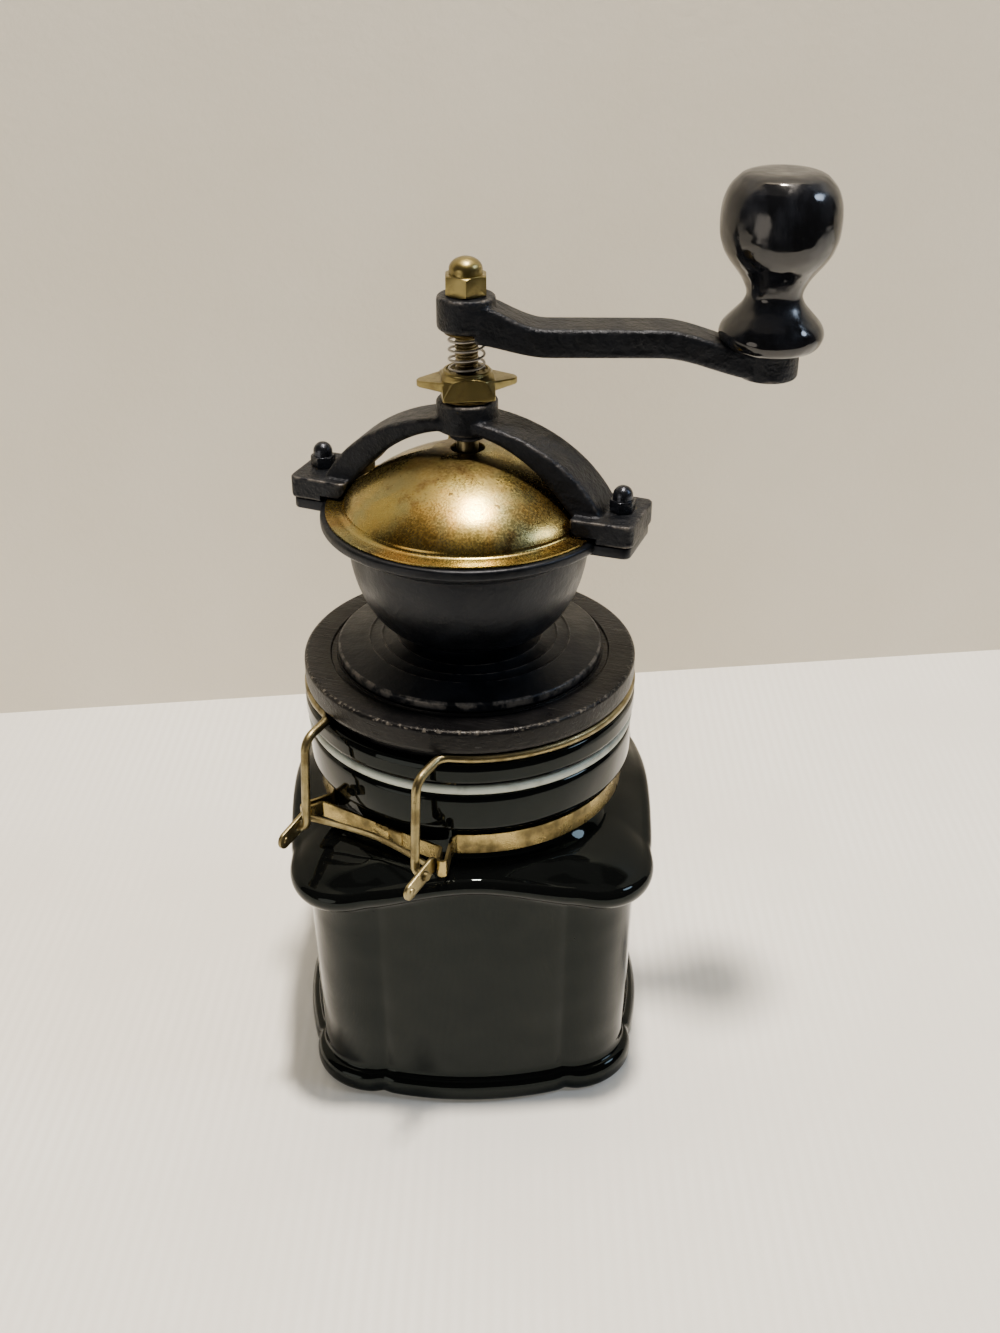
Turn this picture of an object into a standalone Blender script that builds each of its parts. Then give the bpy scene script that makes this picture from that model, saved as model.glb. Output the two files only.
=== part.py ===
import math

import bmesh
import bpy
from mathutils import Matrix, Vector

# Metres, +Z up. The origin is the centre of the jar's foot and the front looks along -Y.

# Fits and overruns
gap = 0.0003
running_gap = 0.0004
burr_lift = 0.0010
overrun = 0.0020
joint_lap = 0.0010
weld_distance = 0.00001
smooth_angle = math.radians(35.0)
flat_angle = math.radians(1.0)
soften_angle = math.radians(60.0)
straight_half_angle = math.radians(76.0)

# Mesh fineness
jar_points = 60
lid_steps = 36
bowl_steps = 32
dome_steps = 36
knob_steps = 24
bar_steps = 20
screw_steps = 10
stud_steps = 12
eye_steps = 16
cap_steps = 16
cap_arc_steps = 4
hub_steps = 24
corner_steps = 3
arm_end_steps = 4
bow_steps = 8
body_arc_steps = 8
floor_arc_steps = 5
window_steps = 20
dome_points = 9
hatch_points = 8

# Jar plan: a square with a bulged panel on each side and a crease beside it
foot_half = 0.0561
foot_bulge = 0.0047
foot_corner = 0.0218
wall_low_half = 0.0531
wall_top_half = 0.0543
wall_bulge = 0.0042
wall_corner = 0.0205
lip_half = 0.0600
lip_bulge = 0.0018
lip_corner = 0.0204
crease_angle = math.radians(30.0)

# Jar heights
foot_chamfer = 0.0010
foot_band = 0.0034
foot_flare_top = 0.0095
wall_top = 0.0910
wall_droop = 0.0090
lip_height = 0.0060
lip_droop = 0.0074
lip_round = 0.0016
shoulder_rise = 0.0015
shoulder_swell = 0.0012
jar_floor = 0.0050
jar_wall = 0.0045
floor_share = 0.92
shoulder_shares = (0.33, 0.67, 1.0)

# Jar neck
neck_radius = 0.0505
neck_fillet = 0.0014
collar_overhang = 0.0039
collar_rise = 0.0118
collar_height = 0.0146
collar_round = 0.0026
collar_corner_share = 0.3
neck_wall = 0.0045
throat_drop = 0.0229

# Lid: gasket, ceramic plug and wooden disc
gasket_height = 0.0028
gasket_overhang = 0.0004
plug_overhang = 0.0008
plug_flange_height = 0.0082
plug_round = 0.0012
plug_play = 0.0045
plug_depth = 0.0058
plug_wall = 0.0041
plug_plate = 0.0055
lid_hole_radius = 0.0210
groove_height = 0.0036
groove_depth = 0.0030
disc_overhang = 0.0005
disc_height = 0.0079
disc_round = 0.0011

# Closure wire
closure_angle = math.radians(-123.5)
wire_radius = 0.00145
wire_bend = 0.0038
ring_play = 0.00055
ring_steps = 15
bend_steps = 3
leg_half_spacing = 0.0213
leg_stand_off = 0.0081
leg_lean = 0.0024
leg_kink_drop = 0.0017
leg_end_length = 0.0051
hinge_stand_off = 0.0059
hinge_half_width = 0.0065

# Neck band
band_thickness = 0.0013
band_rise = 0.0025
band_height = 0.0070
ear_half_spacing = 0.0272
ear_stand_off = 0.0067
ear_width = 0.0034
ear_sheet = 0.0009
ear_height = 0.0058
eye_radius = 0.0031
eye_length = 0.0062
clip_angle = math.radians(-132.0)
clip_width = 0.0075
clip_rise = 0.0011
clip_overhang = 0.0005

# Latch lever
arm_half_spacing = 0.0246
arm_sheet = 0.0013
arm_height = 0.0062
arm_tail = 0.0069
arm_tip = 0.0101
arm_slope = math.radians(-12.5)
bar_stand_off = 0.0051
bar_height = 0.0023
bar_sheet = 0.0011
bow_power = 1.5

# Iron bowl
flange_radius = 0.0436
flange_edge = 0.0030
flange_rise = 0.0058
flange_round = 0.0009
bowl_foot_radius = 0.0204
bowl_neck_radius = 0.0184
bowl_neck_height = 0.0087
bowl_rim_height = 0.0496
bowl_rim_radius = 0.0469
bowl_rim_round = 0.0012
bowl_rim_overhang = 0.0084
bowl_wall = 0.0039
bowl_throat_radius = 0.0152
bowl_throat_height = 0.0185
bowl_floor_turn = math.radians(75.0)
lug_lap = 0.0041
lug_reach = 0.0095
lug_half_width = 0.0118
lug_depth = 0.0036
lug_drop = 0.0006
lug_round = 0.0022

# Bowl's rim as shares of its rounding: from the rim inwards, and from the body outwards
rim_bead_shares = ((1.0, 0.0), (0.0, 1.0), (0.0, 2.0), (0.8, 3.0))
rim_root_shares = ((3.4, 4.2), (1.4, 5.6), (0.0, 7.0))

# Brass dome and its turning hatch
dome_sheet = 0.0007
dome_flange_inset = 0.0017
dome_ledge = 0.0075
dome_height = 0.0184
dome_bell = 1.6
dome_lift = 0.0012
dome_hole_radius = 0.0045
dome_hole_lip = 0.0034
window_inner = 0.0112
window_inset = 0.0006
window_start = math.radians(8.0)
window_end = math.radians(172.0)
hatch_lap = math.radians(17.0)
hatch_ring_outer = 0.0122
pull_angle = math.radians(100.0)
pull_inset = 0.0113
pull_radius = 0.0034
pull_height = 0.0064
pull_pin_radius = 0.0013
pull_profile_shares = ((0.6, 1.0), (1.0, 0.85), (1.0, 0.6), (0.5, 0.35))
pull_foot_share = 0.6

# Iron yoke
yoke_angle = math.radians(-22.0)
yoke_width = 0.0168
yoke_outer_rise = 0.0418
yoke_inner_spread = 0.0045
yoke_inner_rise = 0.0888
yoke_inner_lift = 0.0010
yoke_datum_drop = 0.0102
yoke_edge = 0.0013
yoke_points = 9
yoke_lug_lap = 0.0094
yoke_lug_overhang = 0.0008
yoke_lug_half_width = 0.0125
yoke_lug_height = 0.0070
hub_radius = 0.0095
hub_height = 0.0095
hub_rise = 0.0045
boss_radius = 0.0058
boss_depth = 0.0029

# Studs and cap nuts that hold the yoke
stud_stand_off = 0.0036
stud_radius = 0.0020
cap_nut_flats = 0.0070
cap_nut_hex = 0.0036
cap_nut_radius = 0.0031
cap_nut_height = 0.0079
cap_nut_cover = 0.0030
cap_start_share = 0.25

# Shaft, burrs and lower bearing
shaft_radius = 0.0035
shaft_tail = 0.0011
shaft_chamfer = 0.0006
shaft_collar_radius = 0.0056
shaft_collar_height = 0.0016
burr_teeth = 9
tooth_shares = (0.0, 1.0, 0.5)
burr_rings = 3
burr_height = 0.0125
burr_tooth = 0.0012
burr_twist = math.radians(24.0)
inner_burr_top_radius = 0.0066
inner_burr_base_radius = 0.0106
outer_burr_radius = 0.0148
outer_burr_top_bore = 0.0132
outer_burr_base_bore = 0.0114
bearing_length = 0.0380
bearing_width = 0.0100
bearing_height = 0.0032
bearing_boss_radius = 0.0070
bearing_boss_depth = 0.0030
bearing_end_share = 0.45

# Screws under the lid
bearing_screw_reach = 0.0170
bearing_screw_radius = 0.0013
bearing_screw_head = 0.0024
bearing_screw_head_height = 0.0014
bearing_screw_bite = 0.0022
lid_screw_radius = 0.0018
lid_screw_head = 0.0036
lid_screw_head_height = 0.0020
lid_screw_bite = 0.0026
lid_screw_count = 3

# Adjusting nut and spring
thrust_washer_height = 0.0008
thrust_washer_radius = 0.0082
nut_height = 0.0079
nut_half_width = 0.0078
nut_corner_share = 1.22
nut_plate_share = 0.3
nut_square_share = 0.62
nut_chamfer_share = 0.12
nut_top_radius = 0.0078
nut_boss_radius = 0.0085
nut_points = 16
wing_reach = 0.0153
wing_root_half = 0.0064
wing_tip_half = 0.0026
wing_height = 0.0036
wing_rise = 0.0027
wing_angle = math.radians(-3.0)
spring_seat_depth = 0.0007
spring_seat_radius = 0.0068
spring_wire_radius = 0.00048
spring_radius = 0.00535
spring_turns = 4.5
spring_length = 0.0113
spring_points = 9
washer_radius = 0.0068
washer_height = 0.0008

# Crank
crank_angle = math.radians(-1.9)
crank_reach = 0.0905
crank_hub_radius = 0.0089
crank_hub_height = 0.0103
crank_pocket_radius = 0.0076
crank_width = 0.0150
crank_edge = 0.0014
crank_points = 12
arm_hub_thickness = 0.0125
arm_thickness = 0.0087
arm_pad_thickness = 0.0084
arm_hub_drop = 0.0070
arm_flat_drop = 0.0130
arm_pad_drop = 0.0200
arm_fall_end_share = 0.27
arm_dip_start_share = 0.64
pad_radius = 0.0090
pad_height = 0.0090
pad_round = 0.0006
crown_nut_flats = 0.0120
crown_nut_hex = 0.0058
crown_nut_radius = 0.0050
crown_nut_height = 0.0108
crown_nut_cover = 0.0042

# Knob, as shares of its height and of its greatest radius
spindle_radius = 0.0030
spindle_height = 0.0400
knob_height = 0.0506
knob_radius = 0.0174
knob_profile_shares = (
    (1.0, 0.42),
    (0.994, 0.58),
    (0.98, 0.68),
    (0.96, 0.755),
    (0.921, 0.86),
    (0.877, 0.93),
    (0.82, 0.98),
    (0.751, 1.0),
    (0.692, 0.998),
    (0.642, 0.985),
    (0.597, 0.95),
    (0.553, 0.9),
    (0.504, 0.81),
    (0.457, 0.7),
    (0.411, 0.6),
    (0.372, 0.535),
    (0.336, 0.49),
    (0.304, 0.475),
    (0.275, 0.5),
    (0.241, 0.56),
    (0.193, 0.69),
    (0.132, 0.845),
    (0.079, 0.895),
    (0.032, 0.855),
    (0.0, 0.747),
)

# Places that follow from the sizes above
lip_edge = wall_top + lip_height
shoulder_top = lip_edge + shoulder_rise
collar_bottom = shoulder_top + collar_rise
collar_top = collar_bottom + collar_height
throat_height = collar_top - throat_drop
collar_radius = neck_radius + collar_overhang
mouth_radius = neck_radius - neck_wall
gasket_bottom = collar_top + gap
plug_flange_bottom = gasket_bottom + gasket_height + gap
plug_flange_top = plug_flange_bottom + plug_flange_height
plug_plate_bottom = plug_flange_top - plug_plate
gasket_radius = collar_radius + gasket_overhang
plug_flange_radius = collar_radius + plug_overhang
plug_radius = mouth_radius - plug_play
lid_screw_reach = (lid_hole_radius + plug_radius - plug_wall) / 2
disc_radius = collar_radius + disc_overhang
groove_bottom = plug_flange_top + gap
disc_bottom = groove_bottom + groove_height
disc_top = disc_bottom + disc_height
wire_height = (plug_flange_top + disc_bottom) / 2
groove_radius = disc_radius - groove_depth
wire_ring_radius = groove_radius + wire_radius + ring_play
leg_reach = wire_ring_radius + leg_stand_off
pivot_reach = leg_reach + leg_lean
arm_inner_reach = pivot_reach - arm_tail
arm_outer_reach = pivot_reach + arm_tip
band_radius = neck_radius + gap
band_outer = band_radius + band_thickness
band_bottom = shoulder_top + band_rise
band_top = band_bottom + band_height
band_middle = (band_bottom + band_top) / 2
hinge_reach = band_outer + hinge_stand_off
ear_reach = band_outer + ear_stand_off
bar_reach = band_outer + bar_stand_off
flange_bottom = disc_top + gap
flange_top = flange_bottom + flange_edge
bowl_neck_z = flange_bottom + bowl_neck_height
rim_top = flange_bottom + bowl_rim_height
bowl_body_radius = bowl_rim_radius - bowl_rim_overhang
bowl_mouth_radius = bowl_body_radius - bowl_wall
lug_inner = bowl_rim_radius - lug_lap
lug_outer = bowl_rim_radius + lug_reach
stud_reach = bowl_rim_radius + stud_stand_off
lug_top = rim_top - lug_drop
dome_flange_bottom = rim_top + gap / 2
dome_flange_top = dome_flange_bottom + dome_sheet
dome_base = dome_flange_top + dome_lift
dome_flange_radius = bowl_rim_radius - dome_flange_inset
dome_radius = bowl_rim_radius - dome_ledge
yoke_outer_span = stud_reach
yoke_inner_span = yoke_outer_span + yoke_inner_spread
yoke_datum = rim_top - yoke_datum_drop
yoke_lug_inner = bowl_rim_radius - yoke_lug_lap
yoke_lug_outer = lug_outer + yoke_lug_overhang
hub_top = yoke_datum + yoke_outer_rise + hub_rise
hatch_radius = dome_radius - dome_sheet - running_gap
pull_reach = hatch_radius - pull_inset
hatch_height = dome_height - dome_sheet - running_gap
yoke_lug_bottom = lug_top + gap
yoke_lug_top = yoke_lug_bottom + yoke_lug_height
hub_bottom = hub_top - hub_height
boss_bottom = hub_bottom - boss_depth
yoke_inner_datum = hub_bottom + yoke_inner_lift - yoke_inner_rise
stud_bottom = lug_top - lug_depth + gap
cap_nut_bottom = yoke_lug_top + gap
bearing_top = flange_bottom - gap
bearing_bottom = bearing_top - bearing_height
collar_z = bearing_top + burr_lift
shaft_bottom = bearing_bottom - bearing_boss_depth - shaft_tail
inner_burr_bottom = collar_z + shaft_collar_height + gap
outer_burr_bottom = bearing_top + gap
thrust_washer_bottom = hub_top + gap
nut_bottom = thrust_washer_bottom + thrust_washer_height + gap
nut_top = nut_bottom + nut_height
spring_bottom = nut_top - spring_seat_depth + gap
spring_top = spring_bottom + spring_length
washer_bottom = spring_top + gap
crank_bottom = washer_bottom + washer_height + gap
crank_top = crank_bottom + crank_hub_height
pad_top = crank_top - arm_pad_drop + pad_height / 2
pad_bottom = pad_top - pad_height
knob_bottom = pad_top + running_gap
crown_nut_bottom = crank_top + gap
shaft_top = crown_nut_bottom + crown_nut_height - crown_nut_cover

# Frames that follow from the angles above
closure_frame = Matrix.Rotation(closure_angle, 4, "Z")
upright = Matrix.Rotation(math.pi / 2, 4, "X")
crank_frame = Matrix.Rotation(crank_angle, 4, "Z")


def clear_scene():
    for obj in list(bpy.data.objects):
        bpy.data.objects.remove(obj, do_unlink=True)


def new_collection(name, hidden=False):
    made = bpy.data.collections.new(name)
    bpy.context.scene.collection.children.link(made)
    made.hide_render = hidden
    return made


def finish(name, colour, roughness, metallic):
    made = bpy.data.materials.new(name)
    made.use_nodes = True
    shader = made.node_tree.nodes["Principled BSDF"]
    shader.inputs["Base Color"].default_value = (*colour, 1.0)
    shader.inputs["Roughness"].default_value = roughness
    shader.inputs["Metallic"].default_value = metallic
    made.diffuse_color = (*colour, 1.0)
    return made


def add_object(name, data, look, frame):
    """Adds a piece in its finish or, with no finish, a hidden cutter."""
    obj = bpy.data.objects.new(name, data)
    if look is None:
        tools.objects.link(obj)
        obj.hide_render = True
        obj.display_type = "WIRE"
    else:
        pieces.objects.link(obj)
        data.materials.append(finish(name, *look))
    obj.matrix_world = frame
    return obj


def add_mesh(name, form, look, frame):
    bmesh.ops.remove_doubles(form, verts=form.verts, dist=weld_distance)
    bmesh.ops.recalc_face_normals(form, faces=form.faces)
    data = bpy.data.meshes.new(name)
    form.to_mesh(data)
    form.free()
    data.shade_smooth()
    data.set_sharp_from_angle(angle=smooth_angle)
    return add_object(name, data, look, frame)


def at(x, y, z):
    return Matrix.Translation((x, y, z))


def round_bar(name, radius, bottom, top, steps, frame=Matrix(), look=None):
    """A cylinder along the frame's own Z."""
    form = bmesh.new()
    bmesh.ops.create_cone(form, cap_ends=True, segments=steps, radius1=radius, radius2=radius,
                          depth=top - bottom, matrix=at(0.0, 0.0, (bottom + top) / 2))
    return add_mesh(name, form, look, frame)


def box(name, low, high, frame=Matrix()):
    form = bmesh.new()
    low, high = Vector(low), Vector(high)
    size = Matrix.Diagonal((*(high - low), 1.0))
    bmesh.ops.create_cube(form, size=1.0, matrix=Matrix.Translation((low + high) / 2) @ size)
    return add_mesh(name, form, None, frame)


def lathe(name, profile, steps, look=None, closed=False, frame=Matrix()):
    """Turns a profile of (radius, height) points, outer side downwards, about Z."""
    data = bpy.data.meshes.new(name)
    last = len(profile) - 1
    edges = [(i, i + 1) for i in range(last)]
    if closed:
        edges.append((last, 0))
    data.from_pydata([(r, 0.0, z) for r, z in profile], edges, [])
    obj = add_object(name, data, look, frame)
    turn = obj.modifiers.new("Turn", "SCREW")
    turn.axis = "Z"
    turn.steps = steps
    turn.render_steps = steps
    turn.use_merge_vertices = True
    turn.merge_threshold = weld_distance
    turn.use_smooth_shade = True
    return obj


def curve_object(name, dimensions, points, look, frame):
    data = bpy.data.curves.new(name, "CURVE")
    data.dimensions = dimensions
    line = data.splines.new("POLY")
    line.points.add(len(points) - 1)
    for spot, point in zip(line.points, points):
        spot.co = (*Vector(point).to_3d(), 1.0)
    return add_object(name, data, look, frame)


def plate(name, outline, thickness, frame=Matrix(), look=None):
    """A flat outline thickened evenly to both sides of its plane, made a mesh."""
    flat = curve_object(f"{name}_outline", "2D", outline, None, frame)
    flat.data.splines[0].use_cyclic_u = True
    flat.data.fill_mode = "BOTH"
    flat.data.extrude = thickness / 2
    bpy.context.view_layer.update()
    graph = bpy.context.evaluated_depsgraph_get()
    form = bmesh.new()
    form.from_mesh(bpy.data.meshes.new_from_object(flat.evaluated_get(graph)))
    bmesh.ops.remove_doubles(form, verts=form.verts, dist=weld_distance)
    bmesh.ops.dissolve_limit(form, angle_limit=flat_angle, verts=form.verts, edges=form.edges)
    bpy.data.objects.remove(flat, do_unlink=True)
    return add_mesh(name, form, look, frame)


def wire(name, points, radius, resolution, look, frame=Matrix()):
    obj = curve_object(name, "3D", points, look, frame)
    obj.data.bevel_depth = radius
    obj.data.bevel_resolution = resolution
    obj.data.use_fill_caps = True
    return obj


def loft(name, rings, look=None):
    """Skins rings of equal point count and caps both ends."""
    form = bmesh.new()
    rows = [[form.verts.new(point) for point in ring] for ring in rings]
    for low, high in zip(rows[:-1], rows[1:]):
        for i in range(len(low)):
            j = (i + 1) % len(low)
            form.faces.new((low[i], low[j], high[j], high[i]))
    form.faces.new(rows[0][::-1])
    form.faces.new(rows[-1])
    return add_mesh(name, form, look, Matrix())


def change(target, tool, kind):
    step = target.modifiers.new(tool.name, "BOOLEAN")
    step.operation = kind
    step.solver = "EXACT"
    step.object = tool


def cut(target, tool):
    change(target, tool, "DIFFERENCE")


def join(target, tool):
    change(target, tool, "UNION")


def soften(obj, width):
    edge = obj.modifiers.new("Edges", "BEVEL")
    edge.width = width
    edge.segments = 1
    edge.limit_method = "ANGLE"
    edge.angle_limit = soften_angle


def hang(name, frame, names):
    """Parents the pieces of one moving body to an empty on its joint's axis."""
    pivot = bpy.data.objects.new(name, None)
    pieces.objects.link(pivot)
    pivot.matrix_world = frame
    bpy.context.view_layer.update()
    for child_name in names:
        child = bpy.data.objects[child_name]
        child.parent = pivot
        child.matrix_parent_inverse = frame.inverted()


def arc(centre, radius, start, end, steps):
    turns = [start + (end - start) * i / steps for i in range(steps + 1)]
    return [(centre[0] + radius * math.cos(t), centre[1] + radius * math.sin(t)) for t in turns]


def rounded_rectangle(x0, x1, half_width, radius, steps=corner_steps):
    outline = []
    quarter = math.pi / 2
    for x, y, start in (
        (x1 - radius, half_width - radius, 0.0),
        (x0 + radius, half_width - radius, quarter),
        (x0 + radius, radius - half_width, 2 * quarter),
        (x1 - radius, radius - half_width, 3 * quarter),
    ):
        outline += arc((x, y), radius, start, start + quarter, steps)
    return outline


def bent_path(points, radius, steps):
    """Rounds the inner corners of a path wherever it turns sharply."""
    spots = [Vector(p) for p in points]
    path = [spots[0]]
    for before, corner, after in zip(spots[:-2], spots[1:-1], spots[2:]):
        back = (before - corner).normalized()
        ahead = (after - corner).normalized()
        half = back.angle(ahead) / 2
        if half > straight_half_angle:
            path.append(corner)
            continue
        reach = min(radius / math.tan(half), (before - corner).length / 2, (after - corner).length / 2)
        bend = reach * math.tan(half)
        middle = corner + (back + ahead).normalized() * (bend / math.sin(half))
        first = corner + back * reach - middle
        last = corner + ahead * reach - middle
        path += [middle + first.slerp(last, i / steps) * bend for i in range(steps + 1)]
    path.append(spots[-1])
    return path


def ease(value):
    share = min(1.0, max(0.0, value))
    return share * share * (3.0 - 2.0 * share)


def square_reach(turn, half, corner, bulge):
    """How far a round-cornered square with bulged sides reaches at a bearing."""
    quarter = math.pi / 2
    bearing = abs((turn + quarter / 2) % quarter - quarter / 2)
    flat_end = half - corner
    reach = half / math.cos(bearing)
    if half * math.tan(bearing) > flat_end:
        along = flat_end * (math.cos(bearing) + math.sin(bearing))
        reach = along + math.sqrt(along * along - 2 * flat_end * flat_end + corner * corner)
    if bearing > crease_angle + weld_distance:
        return reach
    crease = half * math.tan(crease_angle)
    panel = (crease * crease + bulge * bulge) / (2 * bulge)
    middle = half + bulge - panel
    inside = middle * math.cos(bearing)
    swell = inside + math.sqrt(inside * inside - middle * middle + panel * panel)
    return max(reach, swell)


def foot_reach(inset):
    return lambda t: square_reach(t, foot_half, foot_corner, foot_bulge) - inset


def wall_reach(half, inset):
    return lambda t: square_reach(t, half, wall_corner, wall_bulge) - inset


def lip_reach(inset):
    return lambda t: square_reach(t, lip_half, lip_corner, lip_bulge) - inset


def level(value):
    return lambda t: value


def blend(first, second, share):
    return lambda t: first(t) * (1.0 - share) + second(t) * share


def drooping(height, droop):
    """A height that falls away from the middle of each side to its corners."""
    return lambda t: height - droop * (1.0 - math.cos(4.0 * t)) / 2


def outer_jar_rows():
    wall_line = drooping(wall_top, wall_droop)
    lip_low = drooping(wall_top + 2 * lip_round, wall_droop)
    lip_line = drooping(lip_edge, lip_droop)
    root = level(neck_radius + neck_fillet)
    rows = [
        (foot_reach(foot_chamfer), level(0.0)),
        (foot_reach(0.0), level(foot_chamfer)),
        (foot_reach(0.0), level(foot_band)),
        (wall_reach(wall_low_half, 0.0), level(foot_flare_top)),
        (wall_reach(wall_top_half, 0.0), wall_line),
        (lip_reach(lip_round), drooping(wall_top + lip_round / 2, wall_droop)),
        (lip_reach(0.0), lip_low),
        (lip_reach(0.0), drooping(lip_edge - lip_round, lip_droop)),
        (lip_reach(lip_round), lip_line),
    ]
    for share in shoulder_shares:
        swell = shoulder_swell * math.sin(math.pi * share)
        height = blend(lip_line, level(shoulder_top), share)
        rows.append((blend(lip_reach(lip_round), root, share),
                     lambda t, h=height, w=swell: h(t) + w * (1.0 - math.cos(4.0 * t)) / 2))
    return rows


def neck_rows():
    corner = collar_round * collar_corner_share
    return [
        (level(r), level(z)) for r, z in (
            (neck_radius, shoulder_top + neck_fillet),
            (neck_radius, collar_bottom),
            (collar_radius - corner, collar_bottom + corner),
            (collar_radius, collar_bottom + collar_round),
            (collar_radius, collar_top - collar_round),
            (collar_radius - corner, collar_top - corner),
            (collar_radius - collar_round, collar_top),
            (mouth_radius, collar_top),
            (mouth_radius, throat_height),
        )
    ]


def inner_jar_rows():
    high = wall_reach(wall_top_half, jar_wall)
    low = wall_reach(wall_low_half, jar_wall)
    return [
        (high, drooping(wall_top - 4 * lip_round, wall_droop)),
        (low, level(foot_flare_top + jar_floor)),
        (blend(level(0.0), low, floor_share), level(jar_floor)),
    ]


def build_jar(look):
    turns = [2 * math.pi * i / jar_points for i in range(jar_points)]
    rings = []
    for reach, height in outer_jar_rows() + neck_rows() + inner_jar_rows():
        rings.append([(reach(t) * math.cos(t), reach(t) * math.sin(t), height(t)) for t in turns])
    loft("jar", rings, look)


def build_lid(ceramic, rubber, wood):
    gasket_top = gasket_bottom + gasket_height
    gasket_bore = plug_radius + running_gap
    lathe("gasket", [
        (gasket_radius, gasket_top), (gasket_radius, gasket_bottom),
        (gasket_bore, gasket_bottom), (gasket_bore, gasket_top),
    ], lid_steps, rubber, closed=True)
    plug_bottom = plug_flange_bottom - plug_depth
    plug = lathe("lid_plug", [
        (plug_flange_radius - plug_round, plug_flange_top),
        (plug_flange_radius, plug_flange_top - plug_round),
        (plug_flange_radius, plug_flange_bottom + plug_round),
        (plug_flange_radius - plug_round, plug_flange_bottom),
        (plug_radius, plug_flange_bottom),
        (plug_radius, plug_bottom + plug_round),
        (plug_radius - plug_round, plug_bottom),
        (plug_radius - plug_wall, plug_bottom),
        (plug_radius - plug_wall, plug_plate_bottom),
        (lid_hole_radius, plug_plate_bottom),
        (lid_hole_radius, plug_flange_top),
    ], lid_steps, ceramic, closed=True)
    disc = lathe("lid_disc", [
        (disc_radius - disc_round, disc_top),
        (disc_radius, disc_top - disc_round),
        (disc_radius, disc_bottom),
        (groove_radius, disc_bottom),
        (groove_radius, groove_bottom),
        (lid_hole_radius, groove_bottom),
        (lid_hole_radius, disc_top),
    ], lid_steps, wood, closed=True)
    return plug, disc


def screw_from_below(name, radius, head, head_height, seat, tip, frame, look):
    """A screw whose head bears upwards on a seat."""
    lathe(name, [
        (0.0, tip), (radius, tip), (radius, seat - gap), (head, seat - gap),
        (head, seat - gap - head_height / 2), (head - head_height / 2, seat - gap - head_height),
        (0.0, seat - gap - head_height),
    ], screw_steps, look, frame=frame)


def build_lid_screws(held, look):
    tip = flange_bottom + lid_screw_bite
    for i in range(lid_screw_count):
        turn = 2 * math.pi * (i + 0.5) / lid_screw_count
        frame = at(lid_screw_reach * math.cos(turn), lid_screw_reach * math.sin(turn), 0.0)
        hole = round_bar(f"lid_screw_hole_{i + 1}", lid_screw_radius + gap, plug_plate_bottom - overrun,
                         tip + gap, screw_steps, frame)
        for piece in held:
            cut(piece, hole)
        screw_from_below(f"lid_screw_{i + 1}", lid_screw_radius, lid_screw_head, lid_screw_head_height,
                         plug_plate_bottom, tip, frame, look)


def bail_side():
    """One half of the closure wire as (reach, along, height), from its tip to the hinge."""
    start = math.asin(leg_half_spacing / wire_ring_radius)
    end = math.pi - math.asin(hinge_half_width / wire_ring_radius)
    side = [
        (pivot_reach, leg_half_spacing + leg_end_length, band_middle),
        (pivot_reach, leg_half_spacing, band_middle),
        (leg_reach, leg_half_spacing, wire_height - leg_kink_drop),
    ]
    side += [(x, y, wire_height) for x, y in arc((0.0, 0.0), wire_ring_radius, start, end, ring_steps)]
    side.append((-hinge_reach, hinge_half_width, wire_height - wire_bend))
    side.append((-hinge_reach, hinge_half_width, band_middle))
    return side


def build_bail(look):
    side = bail_side()
    other = [(reach, -along, height) for reach, along, height in side[::-1]]
    origin = at(-hinge_reach, 0.0, band_middle)
    path = [origin.inverted() @ p for p in bent_path(side + other, wire_bend, bend_steps)]
    wire("bail_wire", path, wire_radius, 2, look, closure_frame @ origin)


def build_band(look):
    band = lathe("neck_band", [
        (band_outer, band_top), (band_outer, band_bottom),
        (band_radius, band_bottom), (band_radius, band_top),
    ], lid_steps, look, closed=True)
    neck = round_bar("band_bore", band_radius + joint_lap, band_bottom - overrun, band_top + overrun,
                     lid_steps)
    for side in (-1, 1):
        frame = closure_frame @ at(0.0, side * ear_half_spacing, band_middle)
        root = math.sqrt(band_radius**2 - ear_half_spacing**2) - ear_width
        outline = rounded_rectangle(root, ear_reach, ear_width / 2, ear_width / 2 - weld_distance)
        ear = plate(f"band_ear_{side}", outline, ear_height, frame)
        slot_half = ear_width / 2 - ear_sheet
        slot_start = math.sqrt(band_outer**2 - ear_half_spacing**2) + ear_width
        slot = plate(f"band_slot_{side}", rounded_rectangle(
            slot_start, ear_reach - ear_sheet, slot_half, slot_half - weld_distance,
        ), ear_height + overrun, frame)
        cut(ear, neck)
        cut(ear, slot)
        join(band, ear)
    eye_frame = closure_frame @ at(-hinge_reach, 0.0, band_middle) @ upright
    web = box("band_web", (-hinge_reach, -eye_length / 2, band_middle - band_thickness),
              (joint_lap - band_outer, eye_length / 2, band_middle + band_thickness), closure_frame)
    join(band, web)
    join(band, round_bar("band_eye", eye_radius, -eye_length / 2, eye_length / 2, eye_steps, eye_frame))
    clip_frame = Matrix.Rotation(clip_angle, 4, "Z") @ at(0.0, 0.0, band_middle)
    clip = plate("band_clip", rounded_rectangle(
        band_radius - clip_rise, band_outer + clip_rise, clip_width / 2, clip_rise / 2,
    ), band_height + 2 * clip_overhang, clip_frame)
    cut(clip, neck)
    join(band, clip)
    cut(band, round_bar("band_eye_bore", wire_radius + running_gap, -eye_length, eye_length, eye_steps,
                        eye_frame))


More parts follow.
